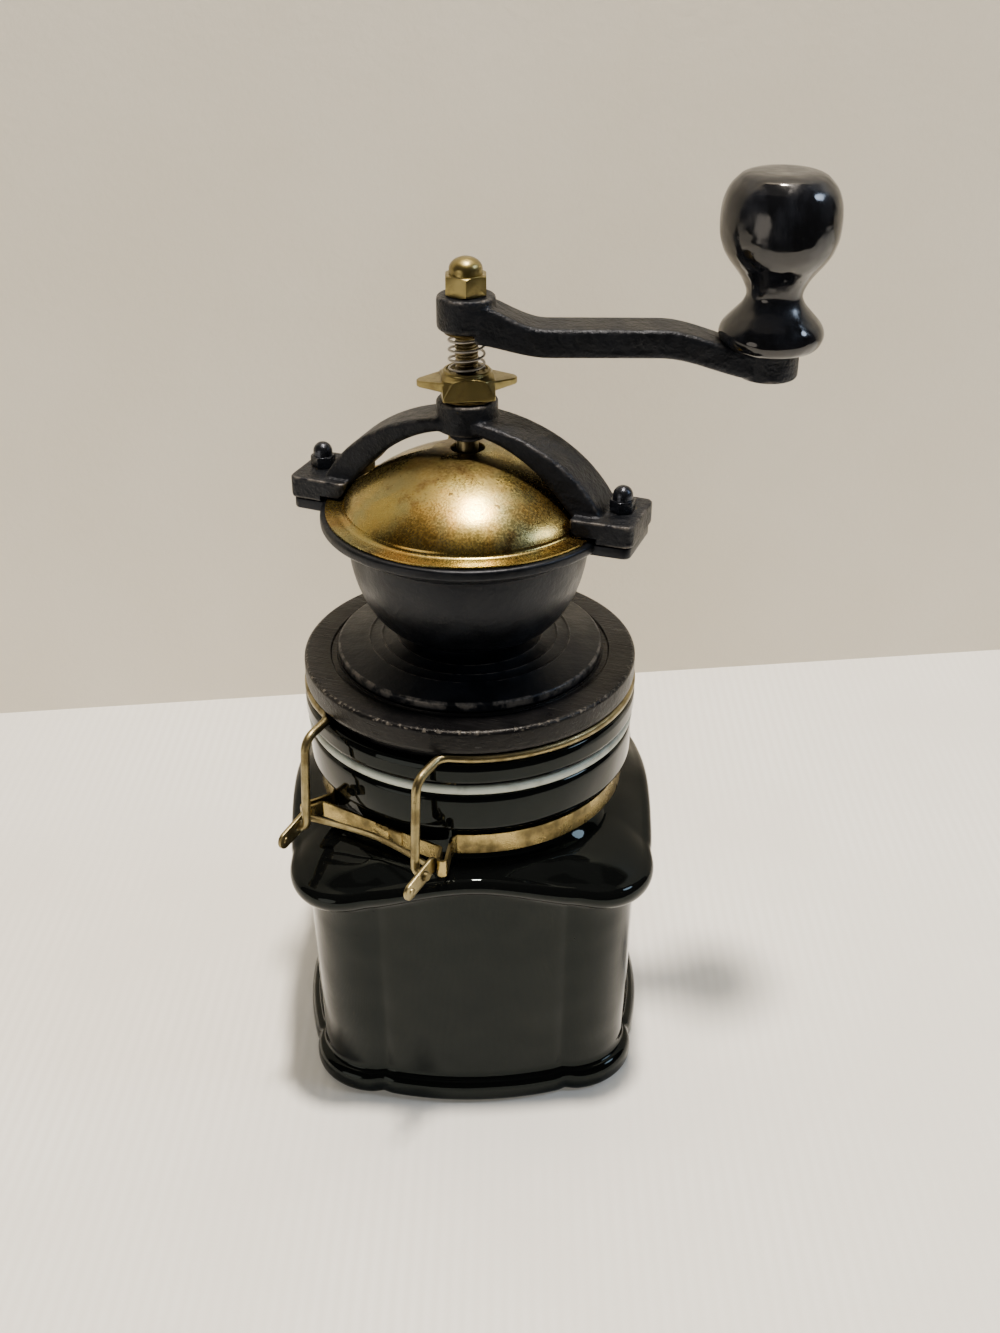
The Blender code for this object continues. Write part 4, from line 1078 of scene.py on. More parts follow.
@dataclass
class Jar:
    """The square stoneware jar: foot, bulged panels, rolled lip, shoulder and round neck."""

    points: int = 480
    foot: Plan = Plan(0.0561, 0.0047, 0.0218, 0.0006)
    wall_low: Plan = Plan(0.0531, 0.0042, 0.0205, 0.0004)
    wall_high: Plan = Plan(0.0543, 0.0042, 0.0205, 0.0003)
    lip: Plan = Plan(0.0600, 0.0018, 0.0204, 0.0002)
    neck: Plan = Plan(0.0505)
    mouth: Plan = Plan(0.0460)
    collar: Plan = Plan(0.0544)
    wall: float = 0.0045
    foot_round: float = 0.0028
    wall_base: float = 0.0118
    wall_top: float = 0.0872
    droop: float = 0.0090
    lip_round: float = 0.0030
    lip_top: float = 0.0970
    lip_droop: float = 0.0074

    def base_rings(self) -> list[tuple[Curve, Curve]]:
        """Describes the underside, the foot and the cove above it."""
        rings = [level_ring(Plan(0.004), 0.0, 0.0016)]
        rings += [level_ring(self.foot, inset, height)
                  for inset, height in ((0.0085, 0.0016), (0.0070, 0.0001), (self.foot_round, 0.0))]
        rings += [level_ring(self.foot, self.foot_round - x, self.foot_round + y)
                  for x, y in arc(self.foot_round, -QUARTER, 0.0, 8)[1:]]
        for k in range(1, 9):
            swing = QUARTER * k / 8.0
            rings.append(ring(self.foot, self.wall_low, 0.78 * (1.0 - math.cos(swing)), 0.0,
                              0.0046 + 0.0040 * math.sin(swing)))
        rings += [ring(self.foot, self.wall_low, share, 0.0, height)
                  for share, height in ((0.90, 0.0094), (0.97, 0.0103))]
        return rings + [level_ring(self.wall_low, 0.0, self.wall_base)]

    def wall_rings(self) -> list[tuple[Curve, Curve]]:
        """Describes the panels and the rolled lip over them."""
        rings = []
        for k in range(1, 9):
            share = k / 8.0
            height = self.wall_base + (self.wall_top - self.wall_base) * share
            rings.append(ring(self.wall_low, self.wall_high, share, 0.0, height, self.droop * share))
        for k in range(1, 6):
            swing = QUARTER * k / 5.0
            share = 1.0 - math.cos(swing)
            rings.append(ring(self.wall_high, self.lip, share, self.lip_round * share,
                              self.wall_top + 0.0034 * math.sin(swing), self.droop))
        for k in range(1, 13):
            share = k / 12.0
            swing = math.pi * (share - 0.5)
            rings.append(level_ring(self.lip, self.lip_round * (1.0 - math.cos(swing)),
                                    self.lip_top - 0.0032 * (1.0 - math.sin(swing)),
                                    self.droop - (self.droop - self.lip_droop) * share))
        return rings

    def shoulder_rings(self) -> list[tuple[Curve, Curve]]:
        """Describes the swelling shoulder and the collar that the lid sits on."""
        root = Plan(0.0524)
        rings = []
        for k in range(1, 13):
            share = k / 12.0
            swell = 0.0013 * math.sin(math.pi * share)
            rings.append(ring(self.lip, root, share, self.lip_round * (1.0 - share),
                              self.lip_top + 0.0014 * share, self.lip_droop * (1.0 - share) - swell))
        rings += [level_ring(root, -x, 0.1003 + y) for x, y in arc(0.0019, -QUARTER, -math.pi, 4)[1:]]
        rings.append(level_ring(self.neck, 0.0, 0.1098))
        under, over = 0.0030, 0.0028
        rings += [level_ring(self.collar, under - x, 0.1132 + y)
                  for x, y in arc(under, -QUARTER, 0.0, 6)]
        rings.append(level_ring(self.collar, 0.0, 0.1178))
        rings += [level_ring(self.collar, over - x, 0.1221 + y) for x, y in arc(over, 0.0, QUARTER, 6)]
        return rings

    def inner_rings(self) -> list[tuple[Curve, Curve]]:
        """Describes the mouth, the hollow body and its floor."""
        rings = [level_ring(self.mouth, inset, height)
                 for inset, height in ((-0.0008, 0.1249), (0.0, 0.1241), (0.0, 0.1040))]
        for k in range(1, 9):
            share = k / 8.0
            lift = math.sin(QUARTER * share)
            height = 0.1025 - 0.0180 * (1.0 - math.sqrt(1.0 - share * share * 0.98))
            rings.append(ring(self.mouth, self.wall_high, share, self.wall * share, height,
                              0.0088 * lift * share))
        for k in range(1, 6):
            share = k / 5.0
            rings.append(ring(self.wall_high, self.wall_low, share, self.wall, 0.0850 - 0.0690 * share,
                              0.0088 * (1.0 - share)))
        bend = 0.0080
        rings += [level_ring(self.wall_low, self.wall + bend - x, 0.0140 + y)
                  for x, y in arc(bend, 0.0, -QUARTER, 6)[1:]]
        return rings + [level_ring(Plan(0.004), 0.0, 0.0058)]

    def build(self) -> None:
        """Builds the jar."""
        rings = self.base_rings() + self.wall_rings() + self.shoulder_rings() + self.inner_rings()
        placed(sealed(thrown(rings, self.points), "glazed_jar", GLAZE, 60.0), Body.JAR, "jar_glaze", "jar")


@dataclass
class Lid:
    """The rubber ring, the glazed plug and the painted wooden disc with its groove."""

    steps: int = 160
    hole: float = 0.0210
    gasket: tuple[float, float] = (0.1252, 0.1280)
    plug: tuple[float, float] = (0.1225, 0.1365)
    disc: tuple[float, float] = (0.1368, 0.1483)

    def build(self) -> None:
        """Builds the three layers and dresses the screws that hold them."""
        ring_section = disc_line(0.0419, 0.0548, *self.gasket, (0.0003, 0.0011, 0.0011), 6)
        seal = sealed(turned(ring_section, self.steps), "rubber_ring", RUBBER)
        placed(seal, Body.LID, "gasket_rubber", "gasket")
        low, high = self.plug
        plug_section = eased([
            (self.hole, high, 0.0005), (0.0546, high, 0.0013), (0.0553, 0.1344, 0.0020),
            (0.0553, 0.1305, 0.0020), (0.0543, 0.1283, 0.0012), (0.0415, 0.1283, 0.0005),
            (0.0415, low, 0.0014), (0.0374, low, 0.0014), (0.0374, 0.1310, 0.0020),
            (self.hole, 0.1310, 0.0005),
        ], 6)
        plug = sealed(turned(plug_section, self.steps), "glazed_plug", GLAZE, 50.0)
        placed(plug, Body.LID, "lid_glaze", "lid_plug")
        low, high = self.disc
        disc_section = eased([
            (self.hole, low, 0.0003), (0.0519, low, 0.0004), (0.0519, 0.1404, 0.0005),
            (0.0546, 0.1404, 0.0005), (0.0549, 0.1418, 0.0010), (0.0549, high, 0.0014),
            (0.0462, high, 0.0003), (0.0459, high - 0.0007, 0.0002), (0.0441, high - 0.0007, 0.0002),
            (0.0439, high, 0.0001), (self.hole, high, 0.0003),
        ], 6)
        disc = sealed(turned(disc_section, self.steps), "painted_disc", DISC_PAINT, 50.0)
        placed(disc, Body.LID, "lid_wood", "lid_disc")
        dressed(SCREW_STEEL, "lid_screw_1", "lid_screw_2", "lid_screw_3")


# Closure


@dataclass
class Closure:
    """The wire bail, the strip round the neck with its ears, and the lever that tightens it."""

    bearing: float = math.radians(-123.5)
    wire: float = 0.00145
    ring_reach: float = 0.0539
    ring_height: float = 0.13845
    leg_half: float = 0.0213
    leg_reach: float = 0.0620
    pivot_reach: float = 0.0644
    hinge_reach: float = 0.0580
    hinge_half: float = 0.0065
    middle: float = 0.1045
    band_radius: float = 0.0513
    sheet: float = 0.0009
    ear_half: float = 0.0275
    ear_gap: float = 0.00125
    ear_reach: float = 0.0588
    strap_reach: float = 0.0526
    arm_half: float = 0.0246
    arm: tuple = ((-0.0069, 0.0031, 0.0030), (0.0101, 0.0029, 0.0028))
    bend: float = 0.0052
    slope: float = math.radians(-12.5)
    frame: Matrix = field(init=False)

    def __post_init__(self) -> None:
        """Works out the closure's own frame."""
        self.frame = about_z(self.bearing)

    def build(self) -> None:
        """Builds the wire, the strip and the lever."""
        self.build_wire()
        self.build_band()
        self.build_lever()

    def build_wire(self) -> None:
        """Builds the bail that clips into the disc's groove and hinges behind the neck."""
        start = math.asin(self.leg_half / self.ring_reach)
        end = math.pi - math.asin(self.hinge_half / self.ring_reach)
        side = [
            (self.pivot_reach, self.leg_half + 0.0051, self.middle),
            (self.pivot_reach, self.leg_half, self.middle),
            (self.leg_reach, self.leg_half, self.ring_height - 0.0017),
        ]
        hoop = arc(self.ring_reach, start, end, 60)
        side += [(x, y, self.ring_height) for x, y in hoop[:1] + hoop[4:]]
        side.append((-self.hinge_reach, self.hinge_half, self.ring_height - 0.0038))
        side.append((-self.hinge_reach, self.hinge_half, self.middle))
        other = [(reach, -along, height) for reach, along, height in side[::-1]]
        path = [self.frame @ p for p in bent_path(side + other, self.bend, 8)]
        placed(wired("bail", path, self.wire, WIRE_PLATE), Body.LID, "closure_metal", "bail_wire")

    def band_line(self) -> list[Triple]:
        """Returns half of the strip's path as (reach, along, half height), from the back to the front."""
        tip = Vector((self.ear_reach, self.ear_half))
        out = tip.normalized()
        across = Vector((-out.y, out.x))
        root = math.atan2(tip.y, tip.x) + math.asin(self.ear_gap / self.band_radius)
        line = [(x, y, 0.0035) for x, y in arc(self.band_radius, math.pi, root + 0.03, 90)]
        fold = tip - out * self.ear_gap
        for back in (fold.length - self.band_radius - 0.0014, 0.0030):
            line.append((*(fold + across * self.ear_gap - out * back), 0.0030))
        for x, y in arc(self.ear_gap, QUARTER, -QUARTER, 8):
            line.append((*(fold + out * x + across * y), 0.0029))
        corner = out * ((self.strap_reach + self.ear_gap * across.x) / out.x) - across * self.ear_gap
        line += [(*(corner + out * 0.0012), 0.0029), (*(corner + out * 0.0004), 0.0028)]
        line += [(self.strap_reach, corner.y * share, 0.0028) for share in (0.97, 0.7, 0.4, 0.15, 0.0)]
        return line

    def build_band(self) -> None:
        """Builds the strip, its seam at the front and the eye at the back."""
        half = self.band_line()
        whole = half + [(reach, -along, high) for reach, along, high in half[-2:0:-1]]
        form = bmesh.new()
        low = [form.verts.new((x, y, self.middle - h)) for x, y, h in whole]
        edges = [form.edges.new((low[i - 1], low[i])) for i in range(len(low))]
        heights = {(round(v.co.x, 7), round(v.co.y, 7)): h for v, (_, _, h) in zip(low, whole)}
        made = bmesh.ops.extrude_edge_only(form, edges=edges)["geom"]
        for part in made:
            if isinstance(part, bmesh.types.BMVert):
                part.co.z = self.middle + heights[(round(part.co.x, 7), round(part.co.y, 7))]
        bmesh.ops.recalc_face_normals(form, faces=form.faces)
        strip = moved(thickened(form, self.sheet, 0.0, False), self.frame)
        seam = block((self.strap_reach - 0.0002, -0.0016, self.middle - 0.0031),
                     (self.strap_reach + 0.0013, 0.0036, self.middle + 0.0033), self.frame, 0.00035)
        hook = block((self.strap_reach + 0.0004, 0.0036, self.middle - 0.0027),
                     (self.strap_reach + 0.0009, 0.0085, self.middle + 0.0027), self.frame, 0.0002)
        web = block((-self.hinge_reach + 0.0026, -0.0028, self.middle - 0.0013),
                    (-self.band_radius + 0.0002, 0.0028, self.middle + 0.0013), self.frame, 0.0003)
        roll = turned(disc_line(0.0019, 0.0031, -0.0031, 0.0031, (0.0002, 0.0003, 0.0003), 3), 48)
        eye = moved(roll, self.frame @ at(-self.hinge_reach, 0.0, self.middle) @ UPRIGHT)
        band = gathered([strip, seam, hook, web, eye])
        placed(sealed(band, "neck_strip", BAND_PLATE, 26.0), Body.JAR, "closure_metal", "neck_band")

    def build_lever(self) -> None:
        """Builds the lever: two arms with rounded ends and a bowed strip between them."""
        pivot = self.frame @ at(self.pivot_reach, 0.0, self.middle)
        tilt = about_z(self.slope)
        forms = []
        for side in (-1, 1):
            place = pivot @ at(0.0, side * self.arm_half, 0.0) @ UPRIGHT @ tilt
            arm = slab(mirrored(self.arm, 8), 0.0012, place, 0.00022)
            forms.append(carved(arm, [bar(self.wire + 0.0004, -0.002, 0.002, 32, place)]))
            forms.append(slab(arc(0.0012, 0.0, TAU, 20)[:-1], 0.0019, place @ at(0.0072, 0.0, 0.0), 0.0003))
        root = self.arm[0][0] + self.arm[0][1]
        bow = -0.0072 - root
        stations = [i / 20.0 - 1.0 for i in range(41)]
        line = [(root + bow * (1.0 - abs(s) ** 1.5), s * self.arm_half) for s in stations]
        outline = [(x + 0.0005, y) for x, y in line] + [(x - 0.0005, y) for x, y in line[::-1]]
        forms.append(slab(outline, 0.0019, pivot @ at(0.0, 0.0, root * math.tan(self.slope)), 0.00015))
        placed(sealed(gathered(forms), "clamp_lever", WIRE_PLATE), Body.LEVER, "closure_metal", "latch_lever")


# Hopper


YOKE_BEARING = math.radians(-22.0)


def lug_frame(side: Side) -> Matrix:
    """Returns the frame whose X runs out through one end of the yoke."""
    return about_z(YOKE_BEARING + side.value[1])


@dataclass
class Hopper:
    """The cast iron bowl with its ringed flange and its two lugs."""

    base: float = 0.1486
    rim_top: float = 0.1982
    rim: float = 0.0469
    body: float = 0.0385
    mouth: float = 0.0346
    neck: float = 0.0184
    throat: float = 0.0152
    flange: float = 0.0436
    rings: tuple[float, ...] = (0.0241, 0.0290, 0.0331)
    cup_low: float = 0.1573
    cup_drop: float = 0.0084
    floor: float = 0.1671
    lug: tuple = ((0.0425, 0.0118, 0.0005), (0.0564, 0.0113, 0.0024))

    def flange_line(self) -> Line:
        """Returns the sloping top of the flange, from the neck out, with its raised rings."""
        start, end = (0.0208, 0.1543), (0.0424, 0.1517)
        line = [(self.neck, 0.1566), (0.0187, 0.1556), (0.0193, 0.1549), (0.0201, 0.15455), start]
        for radius in self.rings:
            height = start[1] + (end[1] - start[1]) * (radius - start[0]) / (end[0] - start[0])
            for across, up in ((-0.00060, 0.0), (-0.0003, 0.00022), (0.0, 0.00032), (0.0003, 0.00022),
                               (0.00060, 0.0)):
                line.append((radius + across, height + up))
        line += [end] + arc(0.0010, QUARTER, 0.0, 5, (self.flange - 0.0010, 0.1506))
        return line

    def profile(self) -> Line:
        """Returns the bowl's section, from the rim down the outside and back up the inside."""
        top = self.rim_top
        line = [(self.mouth, top)]
        line += arc(0.0011, QUARTER, 0.0, 5, (self.rim - 0.0011, top - 0.0011))
        line += arc(0.0012, 0.0, -math.pi / 2.4, 5, (self.rim - 0.0012, top - 0.0024))
        line += [(self.rim - inward, top - fall) for inward, fall in
                 ((0.0024, 0.0041), (0.0046, 0.0052), (0.0063, 0.0063), (0.0075, 0.0076))]
        span = top - self.cup_drop - self.cup_low
        for x, y in arc(1.0, 0.0, math.radians(86.0), 26):
            line.append((self.neck + (self.body - self.neck) * x, self.cup_low + span * (1.0 - y)))
        line += self.flange_line()
        line += [(self.flange, self.base + 0.0003), (self.flange - 0.0003, self.base),
                 (self.throat, self.base)]
        for x, y in arc(1.0, 0.0, math.radians(86.0), 18):
            line.append((self.throat + (self.mouth - self.throat) * y,
                         self.floor + (top - self.floor) * (1.0 - x)))
        return line

    def build(self) -> None:
        """Builds the bowl and its lugs."""
        forms = [turned(self.profile(), 144)]
        for side in Side:
            place = lug_frame(side) @ at(0.0, 0.0, self.rim_top - 0.0024)
            forms.append(slab(mirrored(self.lug, 6), 0.0036, place, 0.0006, 3))
        form = gathered(forms)
        worn = form.verts.layers.float.new("wear")
        for vert in form.verts:
            reach = math.hypot(vert.co.x, vert.co.y)
            if self.base + 0.001 < vert.co.z < 0.1560:
                ridge = any(abs(reach - radius) < 0.0002 for radius in self.rings)
                vert[worn] = 0.55 if ridge else 0.8 * (reach > self.flange - 0.0009)
        placed(sealed(form, "iron_bowl", SMOOTH_IRON, 32.0), Body.LID, "iron", "bowl")
        dressed(IRON, "lower_bearing")
        dressed(SCREW_STEEL, "bearing_screw_left", "bearing_screw_right", "yoke_stud_left", "yoke_stud_right")
        dressed(BURR_STEEL, "outer_burr", "inner_burr")


@dataclass
class Dome:
    """The spun brass dome and the hatch that turns inside it."""

    steps: int = 360
    base: float = 0.20025
    sheet: float = 0.0007
    radius: float = 0.0394
    height: float = 0.0184
    bell: float = 1.6
    hole: float = 0.0049
    flange: float = 0.0452
    flange_top: float = 0.19905
    hatch_radius: float = 0.0383
    hatch_height: float = 0.0173
    pull_bearing: float = math.radians(100.0)
    pull_reach: float = 0.0270

    def meridian(self, radius: float, height: float, stops: tuple[float, ...]) -> Line:
        """Returns the dome's line through the given radii, with points between them.

        Args:
            radius: The dome's radius at its foot.
            height: Its rise.
            stops: Radii that the line passes exactly, from the top down.

        Returns:
            Points of radius and height.
        """
        turns = [math.asin(min(1.0, stop / radius)) for stop in stops]
        line = []
        for first, last in zip(turns, turns[1:]):
            count = max(1, round((last - first) / math.radians(4.0)))
            line += [first + (last - first) * i / count for i in range(count)]
        line.append(turns[-1])
        return [(radius * math.sin(t), self.base + height * math.cos(t)**self.bell) for t in line]

    def pressed(self, profile: Line, start: float, end: float, inner: float, outer: float) -> Form:
        """Spins a sheet and cuts one sector out of it.

        Args:
            profile: The sheet's outer line.
            start: The sector's first bearing, in degrees.
            end: Its last bearing, in degrees.
            inner: Its inner radius.
            outer: Its outer radius.

        Returns:
            The sheet with its thickness.
        """
        form = turned(profile, self.steps, closed=False)
        bmesh.ops.recalc_face_normals(form, faces=form.faces)
        if sum(face.normal.z for face in form.faces) < 0.0:
            bmesh.ops.reverse_faces(form, faces=form.faces)
        gone = []
        for face in form.faces:
            centre = face.calc_center_median()
            bearing = math.degrees(math.atan2(centre.y, centre.x)) % 360.0
            reach = math.hypot(centre.x, centre.y)
            if (bearing - start) % 360.0 < end - start and inner < reach < outer:
                gone.append(face)
        bmesh.ops.delete(form, geom=gone, context="FACES")
        return thickened(form, self.sheet, -1.0, True)

    def build(self) -> None:
        """Builds the dome, the hatch and the hatch's pull."""
        outer = self.meridian(self.radius, self.height, (self.hole + 0.0004, 0.0112, 0.0388, 0.0393))
        crown = outer[0][1]
        profile = [(self.hole + 0.0003, crown - 0.0034), (self.hole + 0.0003, crown - 0.0006),
                   (self.hole + 0.0006, crown - 0.0001)] + outer[1:]
        profile += [(0.0394, 0.2007), (0.0395, 0.2001), (0.0398, 0.1996), (0.0402, 0.1993), (0.0408, 0.1991),
                    (0.0416, self.flange_top), (0.0444, self.flange_top), (self.flange, self.flange_top)]
        shell = self.pressed(profile, 8.0, 172.0, 0.0112, 0.0388)
        placed(sealed(shell, "brass_dome", DOME_BRASS, 50.0), Body.LID, "dome_brass", "dome_shell")
        inner = self.meridian(self.hatch_radius, self.hatch_height, (0.0056, 0.0122, self.hatch_radius))
        inner.append((self.hatch_radius, 0.1987))
        hatch = self.pressed(inner, 189.0, 351.0, 0.0122, 0.0400)
        placed(sealed(hatch, "brass_hatch", DOME_BRASS, 50.0), Body.HATCH, "dome_brass", "dome_hatch")
        self.build_pull()

    def build_pull(self) -> None:
        """Builds the small turned pull that the hatch is pushed round by."""
        slope = math.asin(self.pull_reach / self.hatch_radius)
        fall = self.bell * math.cos(slope)**(self.bell - 1.0)
        steep = self.hatch_height * fall * math.sin(slope)
        normal = Vector((steep, 0.0, self.hatch_radius * math.cos(slope)))
        tilt = Vector((0.0, 0.0, 1.0)).rotation_difference(normal).to_matrix().to_4x4()
        seat = at(self.pull_reach, 0.0, self.base + self.hatch_height * math.cos(slope)**self.bell)
        place = about_z(self.pull_bearing) @ seat @ tilt
        line = [(0.0, 0.0064), (0.0014, 0.00636), (0.0024, 0.0061), (0.0031, 0.0056), (0.0034, 0.0048),
                (0.0033, 0.0041), (0.0028, 0.0034), (0.0020, 0.0028), (0.0016, 0.0021), (0.0016, 0.0012),
                (0.0019, 0.0006), (0.0021, 0.0001), (0.0012, 0.0001), (0.0012, -0.0006), (0.0, -0.0006)]
        form = moved(turned(line, 48, closed=False), place)
        placed(sealed(form, "hatch_button", NUT_BRASS), Body.HATCH, "nut_brass", "hatch_pull")


@dataclass
class Yoke:
    """The cast arch over the dome, which carries the shaft, and the nuts that hold it down."""

    width: float = 0.0168
    outer: Triple = (0.0505, 0.0418, 0.1880)
    inner: Triple = (0.0550, 0.0888, 0.1370)
    hub: float = 0.0095
    hub_low: float = 0.2248
    hub_top: float = 0.2343
    boss: float = 0.0058
    boss_low: float = 0.2219
    lug_low: float = 0.1979
    lug_top: float = 0.2049
    stud_reach: float = 0.0505
    lug: tuple = ((0.0375, 0.0125, 0.0012), (0.0572, 0.0119, 0.0026))
    step: tuple[float, float] = (0.0414, 0.0477)
    clearance: float = 0.0008
    bore: float = 0.0039

    def arch(self, span: float, rise: float, datum: float) -> Line:
        """Returns one edge of the arch, from its left foot over to its right."""
        last = math.acos((self.lug_low + 0.0010 - datum) / rise)
        turns = [last * (i / 24.0 - 1.0) for i in range(49)]
        return [(span * math.sin(t), datum + rise * math.cos(t)) for t in turns]

    def relief(self) -> Form:
        """Makes the space that the yoke leaves round the dome."""
        dome = Dome()
        line = [(0.0, dome.base + dome.height + self.clearance)]
        over = dome.meridian(dome.radius, dome.height, (0.004, dome.radius))
        line += [(r + self.clearance, z + self.clearance) for r, z in over]
        low, flat = self.lug_low - 0.002, dome.flange_top + self.clearance
        near, far = self.step
        line += [(near, dome.base), (near, flat), (far, flat), (far, low), (0.0, low)]
        return turned(line, 128, closed=False)

    def build(self) -> None:
        """Builds the casting and its two nuts."""
        outline = self.arch(*self.outer) + self.arch(*self.inner)[::-1]
        forms = [slab(outline, self.width, about_z(YOKE_BEARING) @ UPRIGHT, 0.0013, 3)]
        hub = disc_line(0.0, self.hub, self.hub_low, self.hub_top, (0.0, 0.0004, 0.0005), 4)
        forms.append(turned(hub, 64, closed=False))
        forms.append(bar(self.boss, self.boss_low, self.hub_low + 0.002, 48))
        middle = at(0.0, 0.0, (self.lug_low + self.lug_top) / 2.0)
        for side in Side:
            height = self.lug_top - self.lug_low
            forms.append(slab(mirrored(self.lug, 5), height, lug_frame(side) @ middle))
        bore = bar(self.bore, self.boss_low - 0.002, self.hub_top + 0.002, 48)
        form = cast(forms, 0.00045, 7, [bore, self.relief()])
        placed(sealed(form, "iron_yoke", IRON, 50.0), Body.LID, "iron", "yoke")
        for side in Side:
            name = side.value[0]
            seat = lug_frame(side) @ at(self.stud_reach, 0.0, self.lug_top + 0.0003)
            nut = sealed(cap_nut(0.0070, 0.0036, 0.0031, 0.0079, seat), f"cap_nut_{name}", DARK_STEEL, 25.0)
            placed(nut, Body.LID, "dark_nut", f"yoke_nut_{name}")


def cap_nut(flats: float, hexagon: float, radius: float, height: float, place: Matrix,
            bore: float = 0.0, depth: float = 0.0) -> Form:
    """Makes a hexagon nut with a domed cap.

    Args:
        flats: Its width across flats.
        hexagon: The height of the hexagon.
        radius: The cap's radius.
        height: The nut's whole height.
        place: Where it sits.
        bore: The radius of its blind bore, if it has one.
        depth: The bore's depth.

    Returns:
        The nut.
    """
    corner = flats / math.sqrt(3.0)
    prism = bar(corner, 0.0, hexagon, 6)
    chamfer = flats * 0.035
    barrel = turned([(0.0, -0.0001), (corner - 2.2 * chamfer, -0.0001), (corner + 0.0001, chamfer),
                     (corner + 0.0001, hexagon - chamfer), (corner - 2.2 * chamfer, hexagon + 0.0001),
                     (0.0, hexagon + 0.0001)], 72, closed=False)
    body = carved(prism, [barrel], "INTERSECT")
    sharp = [edge for edge in body.edges
             if edge.is_manifold and edge.calc_face_angle(0.0) > math.radians(40.0)]
    rounded(body, sharp, flats * 0.012, 2)
    shoulder = hexagon + (height - hexagon) * 0.28
    line = [(0.0, hexagon - 0.001), (radius + 0.0002, hexagon - 0.001), (radius, hexagon + 0.0003)]
    line += [(radius * x, shoulder + (height - shoulder) * y) for x, y in arc(1.0, 0.0, QUARTER, 12)]
    whole = carved(body, [turned(line, 48, closed=False)], "UNION")
    if bore > 0.0:
        whole = carved(whole, [bar(bore, -0.002, depth, 32)])
    return moved(whole, place)


# Drive


@dataclass
class Drive:
    """The threaded shaft with its spring, washers and crown nut."""

    shaft: float = 0.0035
    shaft_low: float = 0.1410
    shaft_top: float = 0.2731
    pitch: float = 0.0010
    spring: tuple[float, float] = (0.2432, 0.2545)
    spring_radius: float = 0.00535
    spring_wire: float = 0.00040
    turns: float = 4.5
    ridge: tuple[float, float] = (0.2296, 0.2720)
    nut_low: float = 0.2665

    def thread(self, low: float, high: float) -> Form:
        """Makes the ridge that winds up the shaft.

        Args:
            low: Where it starts.
            high: Where it ends.

        Returns:
            The ridge.
        """
        form = bmesh.new()
        root, crest = self.shaft - 0.00055, self.shaft + 0.00003
        section = [(root - 0.0002, -0.00042), (root, -0.00042), (crest, -0.00008), (crest, 0.00008),
                   (root, 0.00042), (root - 0.0002, 0.00042)]
        verts = [form.verts.new((r, 0.0, low + z)) for r, z in section]
        cap = form.faces.new(verts)
        steps = 28
        count = int((high - low) / self.pitch * steps)
        bmesh.ops.spin(form, geom=[cap], cent=(0.0, 0.0, 0.0), axis=(0.0, 0.0, 1.0),
                       dvec=(0.0, 0.0, self.pitch / steps), angle=TAU * count / steps, steps=count,
                       use_merge=False)
        bmesh.ops.recalc_face_normals(form, faces=form.faces)
        return form

    def build(self) -> None:
        """Builds the shaft, the washers, the spring and the crown nut."""
        core = self.shaft - 0.00045
        line = [(0.0, self.shaft_top), (self.shaft - 0.0008, self.shaft_top), (core, self.shaft_top - 0.0006),
                (core, 0.2290), (self.shaft, 0.2286), (self.shaft, 0.1511), (0.0055, 0.1509),
                (0.0056, 0.1507), (0.0056, 0.1494), (0.0054, 0.1493), (self.shaft, 0.1493),
                (self.shaft, self.shaft_low + 0.0006), (self.shaft - 0.0006, self.shaft_low),
                (0.0, self.shaft_low)]
        forms = [turned(line, 48, closed=False), self.thread(*self.ridge)]
        shaft = sealed(gathered(forms), "threaded_shaft", SHAFT_STEEL, 30.0)
        placed(shaft, Body.DRIVE, "shaft_steel", "shaft")
        self.build_washer("thrust_ring", 0.0082, 0.2346, Body.LID, "thrust_washer")
        self.build_washer("spring_plate", 0.0068, 0.2548, Body.DRIVE, "spring_washer")
        self.build_spring()
        seat = at(0.0, 0.0, self.nut_low)
        nut = cap_nut(0.0120, 0.0058, 0.0050, 0.0108, seat, self.shaft + 0.0003, 0.0069)
        placed(sealed(nut, "crown_nut", NUT_BRASS, 25.0), Body.DRIVE, "nut_brass", "crank_nut")

    def build_washer(self, name: str, radius: float, low: float, body: Body, node: str) -> None:
        """Builds a plain washer.

        Args:
            name: The piece's name.
            radius: Its radius.
            low: The height of its underside.
            body: The body that it rides on.
            node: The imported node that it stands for.
        """
        section = disc_line(self.shaft + 0.0004, radius, low, low + 0.0008, (0.0001, 0.0002, 0.0002), 3)
        placed(sealed(turned(section, 72), name, WASHER_BRASS), body, "nut_brass", node)

    def build_spring(self) -> None:
        """Builds the spring, with closed end coils that lie on the faces they press on."""
        low, high = self.spring
        low += self.spring_wire
        high -= self.spring_wire
        count = int(self.turns * 36)
        path = []
        for i in range(count + 1):
            share = i / count
            eased_share = min(1.0, max(0.0, (share * self.turns - 0.45) / (self.turns - 0.9)))
            turn = TAU * self.turns * share
            path.append((self.spring_radius * math.cos(turn), self.spring_radius * math.sin(turn),
                         low + (high - low) * eased_share))
        coil = wired("coil_spring", path, self.spring_wire, SPRING_STEEL)
        placed(coil, Body.DRIVE, "spring_steel", "spring")


